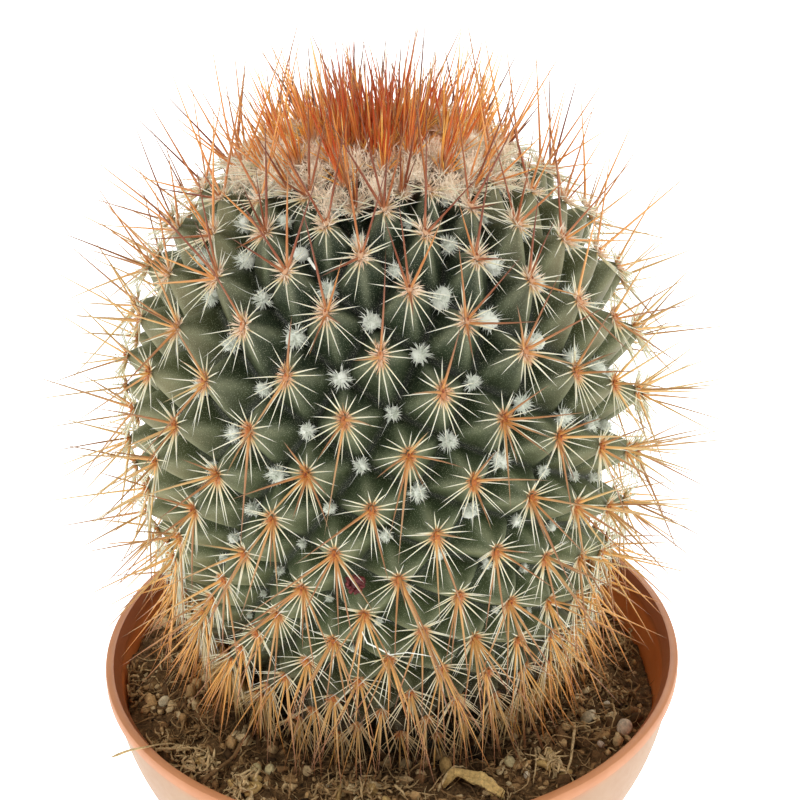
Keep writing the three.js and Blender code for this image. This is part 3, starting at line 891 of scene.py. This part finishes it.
def radial_material():
    """Cream needles, amber at the foot; towards the soil the whole needle turns tan. The tone turns them
    more golden, partly at random and partly as painted light from behind at the sides of the stem.
    """
    made = Surface("radial_spine")
    along, tone = made.attribute("along"), made.attribute("tone")
    white = made.ramp(along, (0, (204, 148, 108)), (0.14, (220, 194, 156)), (0.3, (230, 226, 204)),
                      (1, (230, 230, 214)))
    greenish = made.ramp(along, (0, (208, 152, 86)), (0.14, (216, 194, 134)), (0.35, (222, 218, 180)),
                         (1, (224, 222, 198)))
    pale = made.ramp(along, (0, (192, 138, 92)), (0.25, (198, 174, 136)), (0.65, (176, 152, 120)),
                     (1, (108, 78, 58)))
    golden = made.ramp(along, (0, (224, 160, 84)), (0.3, (232, 190, 122)), (0.7, (226, 192, 134)),
                       (1, (176, 134, 84)))
    colour = made.mixed(made.height_share(0.05, 0.072), made.mixed(tone, pale, golden),
                        made.mixed(tone, white, greenish))
    return finish_spine(made, colour, 0.5, 0.4)


def central_material():
    """Amber at the foot, brown towards the fine tip; young ones near the crown are red-brown. The tone
    takes each kind from its golden form to its brown one; its golden forms at the sides of the stem are
    painted light from behind."""
    made = Surface("central_spine")
    along = made.attribute("along")
    amber = made.ramp(along, (0, (228, 174, 100)), (0.3, (214, 180, 122)), (0.7, (190, 170, 130)),
                      (1, (134, 124, 106)))
    brown = made.ramp(along, (0, (204, 146, 80)), (0.3, (168, 120, 78)), (0.7, (146, 106, 74)),
                      (1, (90, 76, 60)))
    golden = made.ramp(along, (0, (234, 168, 84)), (0.35, (226, 168, 90)), (0.7, (198, 132, 68)),
                       (1, (128, 76, 50)))
    tan = made.ramp(along, (0, (208, 158, 86)), (0.35, (188, 150, 96)), (0.65, (148, 100, 68)),
                    (1, (96, 54, 40)))
    orange = made.ramp(along, (0, (226, 170, 116)), (0.2, (212, 138, 76)), (0.6, (222, 156, 84)),
                       (0.85, (168, 124, 84)), (1, (104, 88, 70)))
    red = made.ramp(along, (0, (188, 126, 88)), (0.2, (136, 70, 42)), (0.7, (106, 54, 34)),
                    (1, (68, 46, 36)))
    tone = made.ramp(made.attribute("tone"), (0.25, BLACK), (0.6, WHITE))
    middle, low, young = (made.mixed(tone, *pair) for pair in ((amber, brown), (golden, tan),
                                                               (orange, red)))
    colour = made.mixed(made.height_share(0.06, 0.1), low, middle)
    colour = made.mixed(made.height_share(0.125, 0.152), colour, young)
    return finish_spine(made, colour, 0.36, 0.5)


def crown_material():
    """Young spines: pale foot, orange-red shaft and dark thin tip; the outer ones are golden, and more
    of them at the sides of the stem as painted light from behind.
    """
    made = Surface("crown_spine")
    along = made.attribute("along")
    golden = made.ramp(along, (0, (244, 216, 184)), (0.28, (232, 158, 88)), (0.52, (244, 172, 74)),
                       (0.8, (238, 184, 100)), (1, (104, 80, 56)))
    red = made.ramp(along, (0, (240, 200, 164)), (0.26, (214, 118, 66)), (0.5, (186, 66, 16)),
                    (0.75, (154, 72, 32)), (1, (70, 50, 38)))
    return finish_spine(made, made.mixed(made.attribute("tone"), golden, red), 0.36, 0.5)


def skin_material():
    """Dull green with fine pale dots, paler along the edges of the tubercles. Painted shade darkens each
    tubercle above its areole and down in the axils, painted light from behind makes the sides of the
    stem paler, and near the soil it turns brown, partly its own dusty base and partly painted shade."""
    made = Surface("stem_skin")
    broad = made.noise(90, 4, 0.55)
    old = made.ramp(broad, (0.3, (116, 122, 88)), (0.7, (146, 148, 112)))
    fresh = made.ramp(broad, (0.3, (45, 57, 40)), (0.7, (70, 81, 59)))
    youngest = made.ramp(broad, (0.3, (32, 43, 30)), (0.7, (53, 64, 47)))
    green = made.mixed(made.height_share(0.06, 0.14), old, fresh)
    green = made.mixed(made.height_share(0.115, 0.145), green, youngest)
    # Painted light from behind: the sides of the stem are paler.
    green = made.mixed(made.attribute("front"), made.mixed(0.42, green, (172, 160, 116)), green)
    # Painted shade on the upper half of each tubercle, above its areole; the lower half stays lit.
    shade = made.ramp(made.attribute("under"), (0.0, (0.42, 0.5, 0.42, 1)), (1.0, WHITE))
    green = made.mixed(1.0, green, shade, "MULTIPLY")
    green = made.mixed(made.attribute("ridge"), green, made.mixed(0.3, green, (170, 174, 140)))
    # Brown near the soil: partly the stem's own dusty base, partly painted shade.
    green = made.mixed(made.height_share(0.045, 0.08), (58, 40, 20), green)
    green = made.mixed(made.axis_distance(0.014, 0.021), (196, 134, 96), green)
    # Painted shade down in the axils, darkest at the foot of the tubercles.
    depth = made.ramp(made.attribute("share"), (0.0, (0.22, 0.26, 0.2, 1)),
                      (0.3, (0.62, 0.68, 0.6, 1)), (0.65, WHITE))
    green = made.mixed(1.0, green, depth, "MULTIPLY")
    colour = made.mixed(made.dots(4200, 0.17), green, made.mixed(0.45, green, (200, 206, 174)))
    return made.finish(colour, 0.5, 0.3, made.noise(1500, 3, 0.6), 0.25, 0.0002)


def fibre_material(name, low, high, sheen):
    """Soft fibres, whose colour runs from the low one to the high one from fibre to fibre."""
    made = Surface(name)
    return made.finish(made.ramp(made.attribute("tone"), (0, low), (1, high)), 0.85, 0.2,
                       made.noise(2000, 3), 0.3, 0.0001, Sheen_Weight=sheen)


def eye_material():
    made = Surface("areole_eye")
    colour = made.ramp(made.noise(1500, 3), (0.35, (120, 60, 40)), (0.7, (196, 120, 66)))
    return made.finish(colour, 0.7, 0.3, made.noise(3000, 2), 0.5, 0.0002)


def bud_material():
    """Dry pink petals round a dark middle."""
    made = Surface("spent_bud")
    petals = made.ramp(made.noise(1600, 3), (0.35, (72, 20, 24)), (0.7, (124, 50, 50)))
    choice = made.ramp(made.attribute("tone"), (0.2, BLACK), (0.4, WHITE))
    return made.finish(made.mixed(choice, (70, 24, 26), petals), 0.6, 0.4, made.noise(1800, 3), 0.6,
                       0.0003)


def plastic_material():
    """Terracotta-coloured plastic. The pale peach down the outer wall is painted light from the bright
    floor, and the deep red-brown on the inner side is painted shade and glow inside the pot.
    """
    made = Surface("pot_plastic")
    cloud = made.noise(110, 4, 0.55)
    rim = made.ramp(cloud, (0.3, (184, 122, 80)), (0.7, (194, 132, 90)))
    # The paler outer wall below the rim is painted light from the bright floor.
    wall = made.ramp(cloud, (0.3, (166, 130, 102)), (0.7, (174, 142, 114)))
    # The inner side's colour is painted shade and glow inside the pot.
    inner = made.ramp(cloud, (0.3, (224, 124, 58)), (0.7, (236, 142, 76)))
    outside = made.mixed(made.height_share(0.0425, 0.0458), wall, rim)
    inner = made.mixed(made.height_share(0.043, 0.0465), inner, (168, 94, 52))
    normal = made.node("NewGeometry").outputs["Normal"]
    facing = made.node("VectorMath", {0: normal, 1: made.flat_place()}, operation="DOT_PRODUCT")
    side = made.span(facing.outputs["Value"], -0.03, -0.012)
    scratches = made.noise(700, 3, 0.6, 0.4)
    rough = made.node("MapRange", {"Value": scratches, "To Min": 0.38, "To Max": 0.6})
    return made.finish(made.mixed(side, inner, outside), rough.outputs["Result"], 0.5, scratches, 0.12,
                       0.0001)


def finish_soil(made, colour, rough, specular, grain, strength, distance):
    """Darkens the colour under the spines with painted shade, and finishes the material."""
    shade = made.ramp(made.axis_distance(0.03, 0.041), (0, (0.36, 0.31, 0.27, 1)), (1, WHITE))
    return made.finish(made.mixed(1.0, colour, shade, "MULTIPLY"), rough, specular, grain, strength,
                       distance)


def soil_material():
    made = Surface("soil_bed")
    grain = made.noise(900, 6, 0.65)
    colour = made.ramp(grain, (0.3, (42, 31, 18)), (0.55, (112, 86, 56)), (0.75, (180, 144, 98)))
    return finish_soil(made, colour, 0.95, 0.15, grain, 0.9, 0.0008)


def crumb_material(name, *colours):
    """Crumbs whose colour runs through the given ones from crumb to crumb."""
    made = Surface(name)
    spread = [(i / max(1, len(colours) - 1), colour) for i, colour in enumerate(colours)]
    grain = made.noise(1400, 5, 0.65)
    shade = made.ramp(grain, (0.3, (0.45, 0.45, 0.45, 1)), (0.7, WHITE))
    colour = made.mixed(1.0, made.ramp(made.attribute("tone"), *spread), shade, "MULTIPLY")
    return finish_soil(made, colour, 0.9, 0.2, grain, 0.7, 0.0005)


# Soil

def value_noise(x, y, seed):
    wave = np.sin(x * 12.9898 + y * 78.233 + seed * 37.719) * 43758.5453
    return wave - np.floor(wave)


def smooth_noise(x, y, seed):
    left, low = np.floor(x), np.floor(y)
    across, up = smoothstep(x - left, 0, 1), smoothstep(y - low, 0, 1)

    def row(at):
        return value_noise(left, at, seed) * (1 - across) + value_noise(left + 1, at, seed) * across

    return row(low) * (1 - up) + row(low + 1) * up


def soil_height(x, y):
    fade = smoothstep(np.hypot(x, y), STEM_BASE_RADIUS, STEM_BASE_RADIUS + 8)
    coarse, fine, grit = (smooth_noise(x / size, y / size, seed) - 0.5
                          for size, seed in ((9, 1), (3.6, 2), (1.3, 3)))
    return SOIL_LEVEL - SOIL_TILT * x + fade * (SOIL_LUMP_HEIGHT * (coarse + fine)
                                                + SOIL_GRIT_HEIGHT * grit)


def wall_radius(height, inset):
    drop = np.maximum(0, POT_HEIGHT - WALL_TOP_DROP - height)
    share = drop / (WALL_CURVE_DEPTH - inset)
    return (WALL_RADIUS - inset) * np.sqrt(np.maximum(0, 1 - share ** 2))


def on_ground(radius, turns, lift=0.0):
    x, y = radius * np.cos(turns), radius * np.sin(turns)
    return np.stack([x, y, soil_height(x, y) + lift], 1)


def make_soil_bed(material):
    turns = FULL_TURN * np.arange(SOIL_SIDES) / SOIL_SIDES
    inset = WALL_THICKNESS + SOIL_WALL_GAP
    mean = wall_radius(SOIL_LEVEL, inset)
    edge = wall_radius(soil_height(mean * np.cos(turns), mean * np.sin(turns)), inset)
    inner = ROOT_RADIUS + 2
    loops = [on_ground(inner + (edge - inner) * step / SOIL_RINGS, turns)
             for step in range(SOIL_RINGS + 1)]
    loops += [circle(wall_radius(height, inset), turns, height)
              for height in (30.0, 18.0, 8.0, FLOOR_THICKNESS + 0.3)]
    made = make_object("soil_bed", np.concatenate(loops), [grid_faces(len(loops), SOIL_SIDES, True)],
                       material, "soil")
    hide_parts("soil")


def on_soil(count, inner, outer, lift, random):
    """Places spread over the soil, a little above it."""
    radius = np.sqrt(random.uniform(inner ** 2, outer ** 2, count))
    return on_ground(radius, random.uniform(0, FULL_TURN, count), lift)


# Pebbles and chips of the soil: x, y, radius, stretch along three axes, tone
PEBBLES = [
    (40.1, -16.4, 1.5, (1.35, 0.9, 0.8), 0.35),
    (46.8, -21.4, 1.7, (1.0, 0.95, 0.8), 0.75),
    (41.6, -25.2, 0.85, (1.1, 0.9, 0.8), 0.9),
    (-47.3, -12.5, 1.2, (1.1, 0.9, 0.9), 0.3),
    (44.5, -12.0, 0.9, (1, 0.9, 0.8), 0.5),
    (-26.8, -33.5, 1.25, (1, 0.9, 0.9), 0.05),
    (-24.2, -33.0, 1.15, (1.2, 0.9, 0.8), 0.1),
    (22.9, -31.6, 1.3, (1.1, 0.9, 0.8), 0.1),
    (26.0, -34.4, 0.75, (1, 0.9, 0.8), 0.5),
    (-12.9, -37.5, 0.6, (1, 0.9, 0.8), 0.5),
    (-36.0, 25.0, 1.4, (1.2, 0.9, 0.8), 0.4),
    (20.0, 42.0, 1.6, (1.1, 1, 0.8), 0.7),
    (-8.0, 46.0, 1.2, (1.3, 0.9, 0.8), 0.2),
    (45.0, 18.0, 1.3, (1, 0.9, 0.9), 0.6),
]
CHIPS = [
    (31.6, -29.3, 1.9, (1.1, 0.8, 0.6), 0.9),
    (30.3, -32.4, 1.6, (1.0, 0.8, 0.6), 0.8),
    (33.6, -34.2, 1.4, (1.0, 0.9, 0.5), 0.6),
    (-30.6, -38.2, 1.5, (1.1, 0.8, 0.7), 1.0),
    (-27.8, -39.8, 1.5, (1.1, 0.9, 0.7), 0.9),
    (-26.6, -36.8, 1.0, (1.1, 0.9, 0.7), 0.9),
    (10.7, -33.6, 1.5, (1.2, 0.9, 0.6), 0.6),
    (-10.5, -40.5, 1.6, (1.2, 0.8, 0.5), 0.7),
    (-4.4, -39.0, 1.5, (1.2, 0.8, 0.6), 0.6),
    (-1.5, -42.2, 1.3, (1.2, 0.8, 0.6), 0.8),
    (-37.6, -31.4, 1.2, (1.3, 0.7, 0.5), 0.9),
    (30.0, 34.0, 1.8, (1.1, 0.8, 0.6), 0.9),
    (-42.0, 14.0, 1.6, (1.1, 0.8, 0.6), 0.7),
    (-18.0, 41.0, 1.7, (1.2, 0.8, 0.6), 0.8),
]
# Twigs and roots that lie on the soil: radius, tone, and points as x, y, height over the soil
TWIGS = [
    (0.5, 0.2, [(-36.7, -37.2, 1.4), (-34.9, -35.4, 2.2), (-32.8, -33.1, 2.8), (-30.1, -29.7, 3.2),
                (-28.0, -22.2, 2.4)]),
    (0.28, 0.35, [(-29.2, -27.4, 1.4), (-27.4, -22.6, 2.0), (-25.9, -20.4, 2.3), (-24.5, -19.5, 2.2)]),
    (0.34, 0.95, [(36.9, -20.6, 1.2), (36.0, -25.1, 2.0), (35.1, -29.7, 1.8), (33.8, -34.1, 1.4),
                  (32.7, -37.5, 0.6)]),
    (0.2, 0.8, [(33.1, -22.0, 0.8), (34.4, -21.4, 1.8), (36.8, -21.8, 2.2), (39.8, -22.3, 1.6),
                (38.8, -23.8, 0.8)]),
    (0.36, 1.0, [(8.5, -39.6, 0.8), (10.1, -37.1, 1.6), (12.1, -35.3, 2.4), (14.6, -33.1, 2.0)]),
    (0.24, 0.8, [(28.2, -26.8, 0.8), (27.9, -32.6, 1.8), (26.9, -37.7, 1.2)]),
    (0.3, 0.7, [(43.0, -11.8, 0.8), (45.4, -14.4, 1.6), (45.2, -18.6, 1.8), (44.0, -22.0, 0.8)]),
    (0.17, 0.6, [(29.6, -27.6, 0.8), (33.0, -24.0, 1.8), (38.0, -24.4, 1.6), (42.0, -28.0, 0.6)]),
    (0.2, 0.5, [(-24.0, 40.0, 0.8), (-30.0, 34.0, 2.0), (-38.0, 32.0, 1.0)]),
    (0.3, 0.7, [(24.0, 38.0, 0.8), (32.0, 33.0, 2.0), (40.0, 30.0, 0.8)]),
]
# Straws that lean on the rim: as the twigs, but with heights over the floor
STRAWS = [
    (0.26, 1.0, [(-52.6, -41.2, 50.5), (-50.1, -38.4, 49.6), (-47.5, -36.7, 48.9),
                 (-44.3, -31.5, 45.5), (-41.2, -28.2, 42.5)]),
    (0.24, 0.9, [(-46.0, -33.4, 45.9), (-42.4, -30.6, 43.6), (-38.6, -29.2, 42.4),
                 (-36.0, -30.2, 41.6)]),
]
# Heaps of short curled fibres: x, y, spread, count, radius, tone
HEAPS = [
    (-46.4, -26.3, 2.6, 34, 0.26, 0.75),
    (-40.0, -29.9, 3.0, 46, 0.3, 0.95),
    (-36.8, -33.0, 2.6, 40, 0.3, 1.0),
    (-29.0, -39.4, 2.6, 60, 0.34, 1.0),
    (-41.8, -22.5, 2.8, 30, 0.3, 0.45),
    (-37.6, -20.5, 2.6, 26, 0.3, 0.4),
    (-53.4, -9.0, 2.4, 44, 0.34, 0.6),
    (-55.0, -3.0, 2.6, 36, 0.34, 0.5),
    (-12.2, -40.0, 3.4, 56, 0.3, 0.6),
    (-6.0, -38.5, 3.4, 60, 0.3, 0.65),
    (-1.2, -37.5, 3.0, 40, 0.28, 0.6),
    (31.2, -31.6, 2.2, 44, 0.34, 1.0),
    (24.7, -32.2, 1.8, 24, 0.28, 0.8),
    (47.6, -9.9, 2.6, 34, 0.3, 0.5),
    (44.6, -6.0, 2.6, 34, 0.3, 0.5),
    (18.5, -33.8, 2.6, 26, 0.24, 0.4),
    (38.0, -14.6, 2.4, 26, 0.26, 0.6),
    (35.0, 30.0, 3.2, 44, 0.32, 0.8),
    (-12.0, 46.0, 3.2, 44, 0.32, 0.7),
    (-40.0, 26.0, 3.2, 44, 0.32, 0.6),
    (50.0, 10.0, 3.0, 40, 0.3, 0.7),
]
LEAF_SPINE = [(9.5, -38.6, 0.6), (12.5, -37.2, 2.4), (16.5, -37.6, 3.0), (19.6, -39.8, 2.2),
              (20.6, -41.6, 0.8)]
LEAF_WIDTH = 3.4
LEAF_THICKNESS = 0.16


def heap_paths(random):
    """Short curled fibres piled on each heap, with their radii and tones."""
    rows = np.repeat(np.array(HEAPS), [heap[3] for heap in HEAPS], 0)
    x, y, spread, _, radii, tones = rows.T
    x = x + 0.55 * spread * random.normal(size=len(rows))
    y = y + 0.55 * spread * random.normal(size=len(rows))
    start = np.stack([x, y, soil_height(x, y) + random.uniform(0.2, 2.2, len(rows))], 1)
    directions = unit(random.normal(size=start.shape) * [1, 1, 0.5])
    paths = curly_paths(start, directions, random.uniform(1.4, 4.2, len(rows)), 0.6, 5, random)
    radii = radii * random.uniform(0.5, 1.25, len(rows))
    return kept_in_pot(paths, 0.8), radii, np.clip(tones + 0.15 * random.normal(size=len(rows)), 0, 1)


def kept_in_pot(paths, clear):
    """Paths pushed up out of the soil and in from the wall."""
    paths[..., 2] = np.maximum(paths[..., 2], soil_height(paths[..., 0], paths[..., 1]) + 0.15)
    limit = wall_radius(paths[..., 2], WALL_THICKNESS) - clear
    paths[..., :2] *= np.minimum(1, limit / np.hypot(paths[..., 0], paths[..., 1]))[..., None]
    return paths


def smooth_path(points, steps):
    """A curve through the points."""
    points = np.asarray(points, float)
    padded = np.concatenate([2 * points[:1] - points[1:2], points, 2 * points[-1:] - points[-2:-1]])
    place = np.linspace(0, len(points) - 1, steps + 1)
    index = np.minimum(place.astype(int), len(points) - 2)
    t = (place - index)[:, None]
    before, start, end, after = (padded[index + i] for i in range(4))
    return start + 0.5 * t * (end - before + t * (2 * before - 5 * start + 4 * end - after
                                                  + t * (3 * (start - end) + after - before)))


def make_soil_litter(materials):
    """Crumbs, clods, fibres, pebbles, chips, twigs and a leaf."""
    random = np.random.default_rng(53)
    crumb, fibre = materials["crumb"], materials["fibre"]
    spots = on_soil(CRUMBS, 26, LITTER_EDGE, 0.1, random)
    count = len(spots)
    add_lumps("soil_crumbs", spots, random.uniform(0.25, 0.8, count),
              random.uniform(0.5, 1.2, (count, 3)), 1, 0.9, random.uniform(0, 1, count) ** 1.3, crumb,
              "soil", random)
    spots = on_soil(CLODS, 27, LITTER_EDGE - 1, 0.2, random)
    wave = smooth_noise(spots[:, 0] / 7, spots[:, 1] / 7, 5)
    spots = spots[(wave > 0.3) & (wave < 1)]
    count = len(spots)
    add_lumps("soil_clods", spots, random.uniform(0.6, 1.5, count),
              random.uniform(0.5, 1.1, (count, 3)), 2, 1.4, random.uniform(0, 1, count), crumb,
              "soil", random)

    start = on_soil(FIBRES, 27, LITTER_EDGE - 2, 0.6, random)
    directions = unit(random.normal(size=start.shape) * [1, 1, 0.22])
    paths = curly_paths(start, directions, random.uniform(1.5, 8, FIBRES), 0.38, 5, random)
    add_tubes("soil_fibres", kept_in_pot(paths, 0.6), random.uniform(0.07, 0.24, FIBRES),
              random.uniform(0, 1, FIBRES) ** 1.5, fibre, "soil", 4, 0.3, 0.4)
    add_tubes("soil_heaps", *heap_paths(random), fibre, "soil", 5, 0.4, 0.5)

    for name, rows, rough in (("pebble", PEBBLES, 0.12), ("chip", CHIPS, 1.0)):
        x, y, radii, stretch, tones = (np.array(column) for column in zip(*rows))
        spots = np.stack([x, y, soil_height(x, y) + 0.55 * radii], 1)
        add_lumps(f"soil_{name}s", spots, radii, stretch, 3, rough, tones, materials[name], "soil",
                  random)
    for name, rows, ground, shape in (("soil_twigs", TWIGS, 1, (7, 0.45, 0.5)),
                                      ("straws", STRAWS, 0, (6, 0.3, 0.4))):
        radii, tones, lines = zip(*rows)
        paths = np.array([smooth_path(points, TWIG_STEPS) for points in lines])
        paths[..., 2] += ground * soil_height(paths[..., 0], paths[..., 1])
        add_tubes(name, paths, radii, tones, fibre, "soil", *shape)
    make_leaf_scrap(materials["leaf"])


def make_leaf_scrap(material):
    """A curled scrap of dry leaf."""
    line = smooth_path(LEAF_SPINE, 24)
    line[:, 2] += soil_height(line[:, 0], line[:, 1])
    across = unit(np.cross(unit(np.gradient(line, axis=0)), [0, 0, 1.0]))
    t = np.linspace(0, 1, len(line))
    width = LEAF_WIDTH * np.sqrt(np.sin(math.pi * np.clip(t, 0.03, 0.97))) * (1 + 0.12 * np.sin(17 * t))
    columns = np.linspace(-0.5, 0.5, 9)
    sheet = line[:, None] + across[:, None] * (width[:, None] * columns)[..., None]
    sheet[..., 2] += 0.9 * (columns * 2) ** 2 * np.cos(5 * t)[:, None] - 0.3 * np.cos(9 * columns)
    points = np.concatenate([sheet.reshape(-1, 3), (sheet - [0, 0, LEAF_THICKNESS]).reshape(-1, 3)])
    index = np.arange(sheet[..., 0].size).reshape(sheet.shape[:2])
    top = grid_faces(*index.shape)
    rim = np.concatenate([index[0, :], index[1:, -1], index[-1, -2::-1], index[-2:0:-1, 0]])
    following = np.roll(rim, -1)
    side = np.stack([rim, rim + index.size, following + index.size, following], 1)
    make_object("leaf_scrap", points, [top, top[:, ::-1] + index.size, side], material, "soil")


# Pot

def pot_outline():
    """Half section of the pot, from the middle of the underside round to the middle of the floor."""
    def curve(inset, low, high):
        height = low + (high - low) * np.sin(np.linspace(0, math.pi / 2, WALL_ROWS + 1))
        return list(zip(wall_radius(height, inset), height))

    bead = POT_HEIGHT - RIM_BEAD_HEIGHT
    return [(0, 0), (FOOT_RADIUS - 0.6, 0), (FOOT_RADIUS, 0.6), (FOOT_RADIUS, FOOT_HEIGHT),
            *curve(0, FOOT_HEIGHT, bead - 0.5),
            (RIM_RADIUS - 0.25, bead - 0.1), (RIM_RADIUS, bead + 0.2), (RIM_RADIUS, POT_HEIGHT - 0.6),
            (RIM_RADIUS - 0.18, POT_HEIGHT - 0.18), (RIM_RADIUS - 0.6, POT_HEIGHT),
            (RIM_OPENING_RADIUS + 0.5, POT_HEIGHT), (RIM_OPENING_RADIUS + 0.12, POT_HEIGHT - 0.12),
            (RIM_OPENING_RADIUS, POT_HEIGHT - 0.5),
            *curve(WALL_THICKNESS, FLOOR_THICKNESS, bead)[::-1],
            (0, FLOOR_THICKNESS)]


def object_from(shape, name):
    mesh = bpy.data.meshes.new(name)
    shape.to_mesh(mesh)
    shape.free()
    return link_object(name, mesh)


def make_pot(material):
    """The spun pot, with its drain holes cut out."""
    shape = bmesh.new()
    spun = [shape.verts.new((radius * MM, 0, height * MM)) for radius, height in pot_outline()]
    edges = [shape.edges.new(pair) for pair in zip(spun, spun[1:])]
    bmesh.ops.spin(shape, geom=spun + edges, cent=(0, 0, 0), axis=(0, 0, 1), angle=FULL_TURN,
                   steps=POT_SIDES, use_merge=True)
    bmesh.ops.remove_doubles(shape, verts=shape.verts, dist=1e-6)
    bmesh.ops.recalc_face_normals(shape, faces=shape.faces)
    pot = object_from(shape, "pot_wall")
    pot.data.materials.append(material)
    pot.data.polygons.foreach_set("use_smooth", np.ones(len(pot.data.polygons), bool))

    shape = bmesh.new()
    for i in range(DRAIN_HOLES):
        turn = FULL_TURN * (i + 0.5) / DRAIN_HOLES
        place = Vector((math.cos(turn), math.sin(turn), 0)) * DRAIN_CIRCLE_RADIUS * MM
        bmesh.ops.create_cone(shape, cap_ends=True, segments=32, radius1=DRAIN_HOLE_RADIUS * MM,
                              radius2=DRAIN_HOLE_RADIUS * MM, depth=6 * FLOOR_THICKNESS * MM,
                              matrix=Matrix.Translation(place))
    drills = object_from(shape, "drills")
    cut = pot.modifiers.new("drain holes", "BOOLEAN")
    cut.operation = "DIFFERENCE"
    cut.solver = "EXACT"
    cut.object = drills
    bpy.context.view_layer.update()
    evaluated = pot.evaluated_get(bpy.context.evaluated_depsgraph_get())
    cut_mesh = bpy.data.meshes.new_from_object(evaluated)
    pot.modifiers.clear()
    pot.data = cut_mesh
    bpy.data.objects.remove(drills)
    cut_mesh.set_sharp_from_angle(angle=math.radians(40))
    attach(pot, "root")
    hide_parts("pot")


# Studio

def make_camera():
    data = bpy.data.cameras.new("camera")
    data.lens = CAMERA_LENS
    data.sensor_width = 36
    data.sensor_fit = "HORIZONTAL"
    data.clip_start = 0.01
    forward = np.array([0, math.cos(CAMERA_PITCH), -math.sin(CAMERA_PITCH)])
    right = np.array([1.0, 0, 0])
    upward = np.array([0, math.sin(CAMERA_PITCH), math.cos(CAMERA_PITCH)])
    rolled_right = math.cos(CAMERA_ROLL) * right + math.sin(CAMERA_ROLL) * upward
    rolled_up = -math.sin(CAMERA_ROLL) * right + math.cos(CAMERA_ROLL) * upward
    place = np.array(CAMERA_TARGET) - forward * CAMERA_DISTANCE
    camera = link_object("camera", data)
    rows = np.column_stack([rolled_right, rolled_up, -forward, place]).tolist()
    camera.matrix_world = Matrix(rows + [[0, 0, 0, 1]])
    bpy.context.scene.camera = camera


def area_light(name, place, target, size, power):
    data = bpy.data.lights.new(name, "AREA")
    data.shape = "DISK"
    data.size = size
    data.energy = power
    light = link_object(name, data)
    light.location = place
    aim = Vector(target) - Vector(place)
    light.rotation_euler = aim.to_track_quat("-Z", "Y").to_euler()


def make_studio():
    """A pale glowing floor, white surroundings that are brightest at the horizon, and soft lights."""
    bpy.ops.mesh.primitive_plane_add(size=FLOOR_SIZE, location=(0, 0, -FLOOR_DROP))
    floor = bpy.context.object
    floor.name = "studio_floor"
    made = Surface("studio_floor")
    made.put(made.shader, {"Base Color": (0.9, 0.9, 0.9, 1), "Roughness": 0.8, "Specular IOR Level": 0.2,
                           "Emission Color": WHITE, "Emission Strength": FLOOR_GLOW})
    floor.data.materials.append(made.material)

    world = bpy.data.worlds.new("studio")
    sky = Nodes(world)
    direction = sky.node("TexCoord").outputs["Generated"]
    bands = [(place, (*(share * part for part in WARMTH), 1)) for place, share in SKY]
    colour = sky.ramp(sky.node("SeparateXYZ", {0: direction}).outputs["Z"], *bands)
    sky.put(sky.tree.nodes["Background"], {"Color": colour, "Strength": WORLD_STRENGTH})
    bpy.context.scene.world = world

    for light in LIGHTS:
        area_light(*light)
    settings = bpy.context.scene.view_settings
    settings.view_transform = "Standard"
    settings.look = "None"
    settings.exposure = 0.0


# The whole scene

def main():
    make_camera()
    make_studio()
    materials = {
        "radial": radial_material(),
        "central": central_material(),
        "crown": crown_material(),
        "wool": fibre_material("wool", (216, 222, 210), (238, 242, 234), 0.3),
        "felt": fibre_material("areole_felt", (214, 146, 84), (248, 234, 214), 0.2),
        "pad": fibre_material("areole_pad", (172, 104, 54), (212, 172, 140), 0.1),
        "crown_wool": fibre_material("crown_wool", (236, 170, 112), (255, 243, 224), 0.3),
        "eye": eye_material(),
        "bud": bud_material(),
        "crumb": crumb_material("soil_crumb", (52, 37, 22), (156, 118, 77), (222, 180, 124),
                                (250, 224, 174)),
        "fibre": crumb_material("soil_fibre", (104, 76, 48), (188, 150, 102), (248, 218, 164)),
        "pebble": crumb_material("pebble", (226, 208, 150), (244, 228, 200), (226, 200, 178)),
        "chip": crumb_material("bark_chip", (150, 118, 72), (232, 196, 128)),
        "leaf": crumb_material("dry_leaf", (240, 204, 134)),
    }
    cell_sets = make_cells()
    make_stem(cell_sets, skin_material())
    make_spines(cell_sets, materials)
    make_axil_wool(materials["wool"])
    make_areoles(cell_sets, materials)
    make_crown_wool(materials["crown_wool"])
    make_small_items(materials)
    make_soil_bed(soil_material())
    make_soil_litter(materials)
    make_pot(plastic_material())


main()
